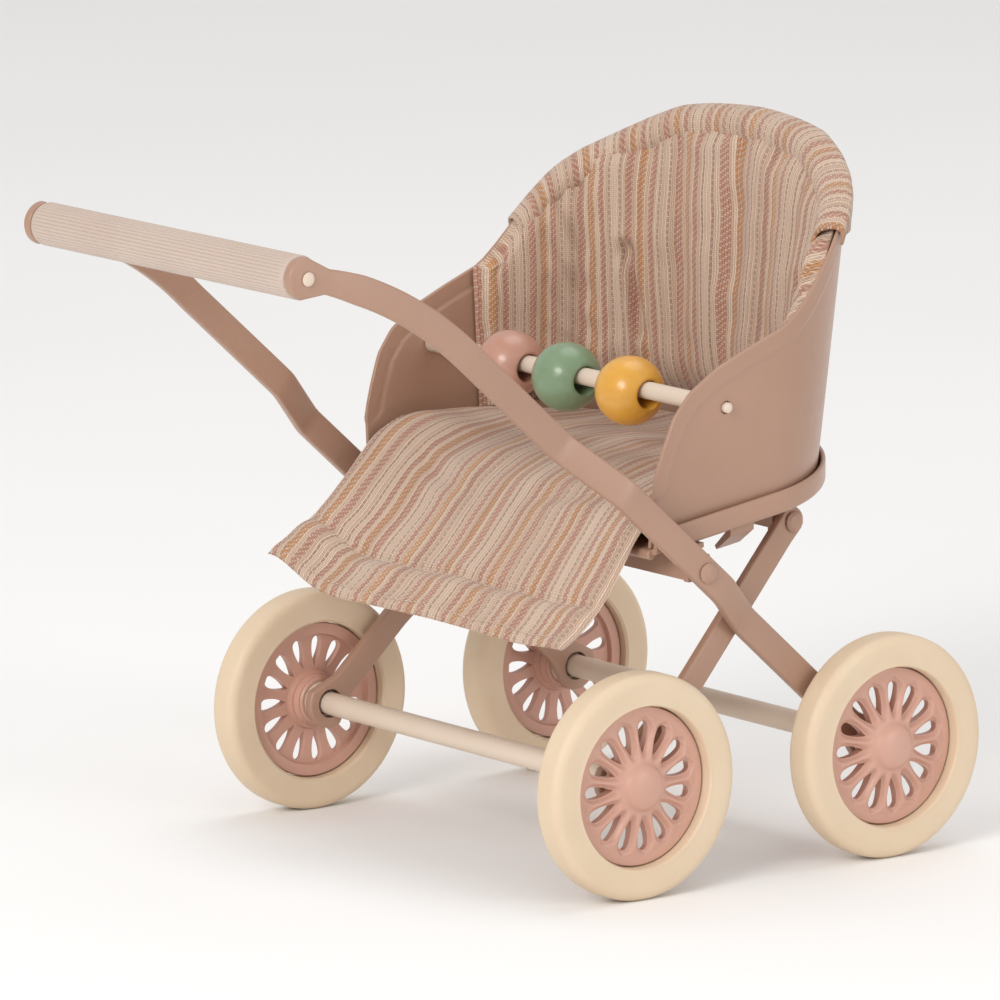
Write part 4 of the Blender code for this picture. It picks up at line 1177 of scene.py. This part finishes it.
# Stitching along the flap's hem, its cross seam and its two sides.
for name, back in (("flap_hem_stitches", 1.6), ("flap_cross_stitches", 9.0)):
    k = int(np.argmin(np.abs(SEAT_V[:, 0] - (SEAT_V[-1, 0] - back))))
    stitched(name, SEAT_FACE[k, 4:-4] + np.array((0, -0.02, 0.08)))
for name, column in (("flap_right_stitches", -4), ("flap_left_stitches", 3)):
    stitched(name, SEAT_FACE[66:-4, column] + np.array((0, -0.05, 0.08)))


# ---------------------------------------------------------------- CAD pieces kept as they are

KEPT = {"rivet": PAINT, "bracket": PAINT, "washer": NYLON, "shell_tab": SEAT_PAINT,
        "grip_rod": ROD}
for made in bpy.data.objects:
    for word, material in KEPT.items():
        if made.type == "MESH" and word in made.name and made.data.materials is not None:
            made.data.materials.clear()
            made.data.materials.append(material)
            if word in ("bracket", "shell_tab"):
                step = made.modifiers.new("Soften", "BEVEL")
                step.width, step.segments, step.angle_limit = 0.2 * MM, 2, math.radians(40)


# ---------------------------------------------------------------- studio

HERE = Vector((1.0950, -0.8468, 0.3077))
AZ, EL, ROLL = 0.9113, 0.1839, 0.0015
lens = bpy.data.cameras.new("camera")
lens.lens, lens.sensor_width = 359.87, 36.0
lens.clip_start, lens.clip_end = 0.05, 20.0
camera = bpy.data.objects.new("camera", lens)
back = Vector((math.sin(AZ) * math.cos(EL), -math.cos(AZ) * math.cos(EL), math.sin(EL)))
right = Vector((math.cos(AZ), math.sin(AZ), 0))
up = back.cross(right)
turn = Matrix((right, up, back)).transposed() @ Matrix.Rotation(ROLL, 3, "Z")
camera.matrix_world = Matrix.Translation(HERE) @ turn.to_4x4()
bpy.context.scene.collection.objects.link(camera)
bpy.context.scene.camera = camera

# A pale floor that runs back out of sight.
floor = bpy.data.meshes.new("studio_floor")
floor.from_pydata([(-6, -6, 0), (6, -6, 0), (6, 6, 0), (-6, 6, 0)], [], [(0, 1, 2, 3)])
paper = Nodes("pale_floor", 0.85)
tone = paper.ramp(paper.noise(6.0, 2.0), ((0.3, (0.92, 0.915, 0.91)), (0.7, (0.94, 0.935, 0.93))))
paper.link(tone, "Base Color")
floor.materials.append(paper.material)
ground = bpy.data.objects.new("studio_floor", floor)
bpy.context.scene.collection.objects.link(ground)


def soft_light(name, place, target, size, power, colour=(1, 1, 1)):
    light = bpy.data.lights.new(name, "AREA")
    light.shape, light.size, light.energy, light.color = "DISK", size, power, colour
    made = bpy.data.objects.new(name, light)
    aim = (Vector(target) - Vector(place)).to_track_quat("-Z", "Y")
    made.matrix_world = Matrix.Translation(place) @ aim.to_matrix().to_4x4()
    bpy.context.scene.collection.objects.link(made)
    return made


centre = (0, 0, 0.05)
soft_light("key", (0.35, -0.95, 0.55), centre, 0.5, 6.0, (1.0, 0.985, 0.96))
soft_light("overhead", (-0.1, 0.25, 1.1), centre, 0.8, 2.4)
soft_light("side_fill", (1.1, 0.35, 0.35), centre, 0.6, 2.6, (0.98, 0.99, 1.0))

world = bpy.data.worlds.new("studio")
world.use_nodes = True
world.node_tree.nodes["Background"].inputs[0].default_value = (1.0, 0.99, 0.98, 1)
world.node_tree.nodes["Background"].inputs[1].default_value = 0.68
bpy.context.scene.world = world
bpy.context.scene.view_settings.view_transform = "Standard"

bpy.context.view_layer.update()
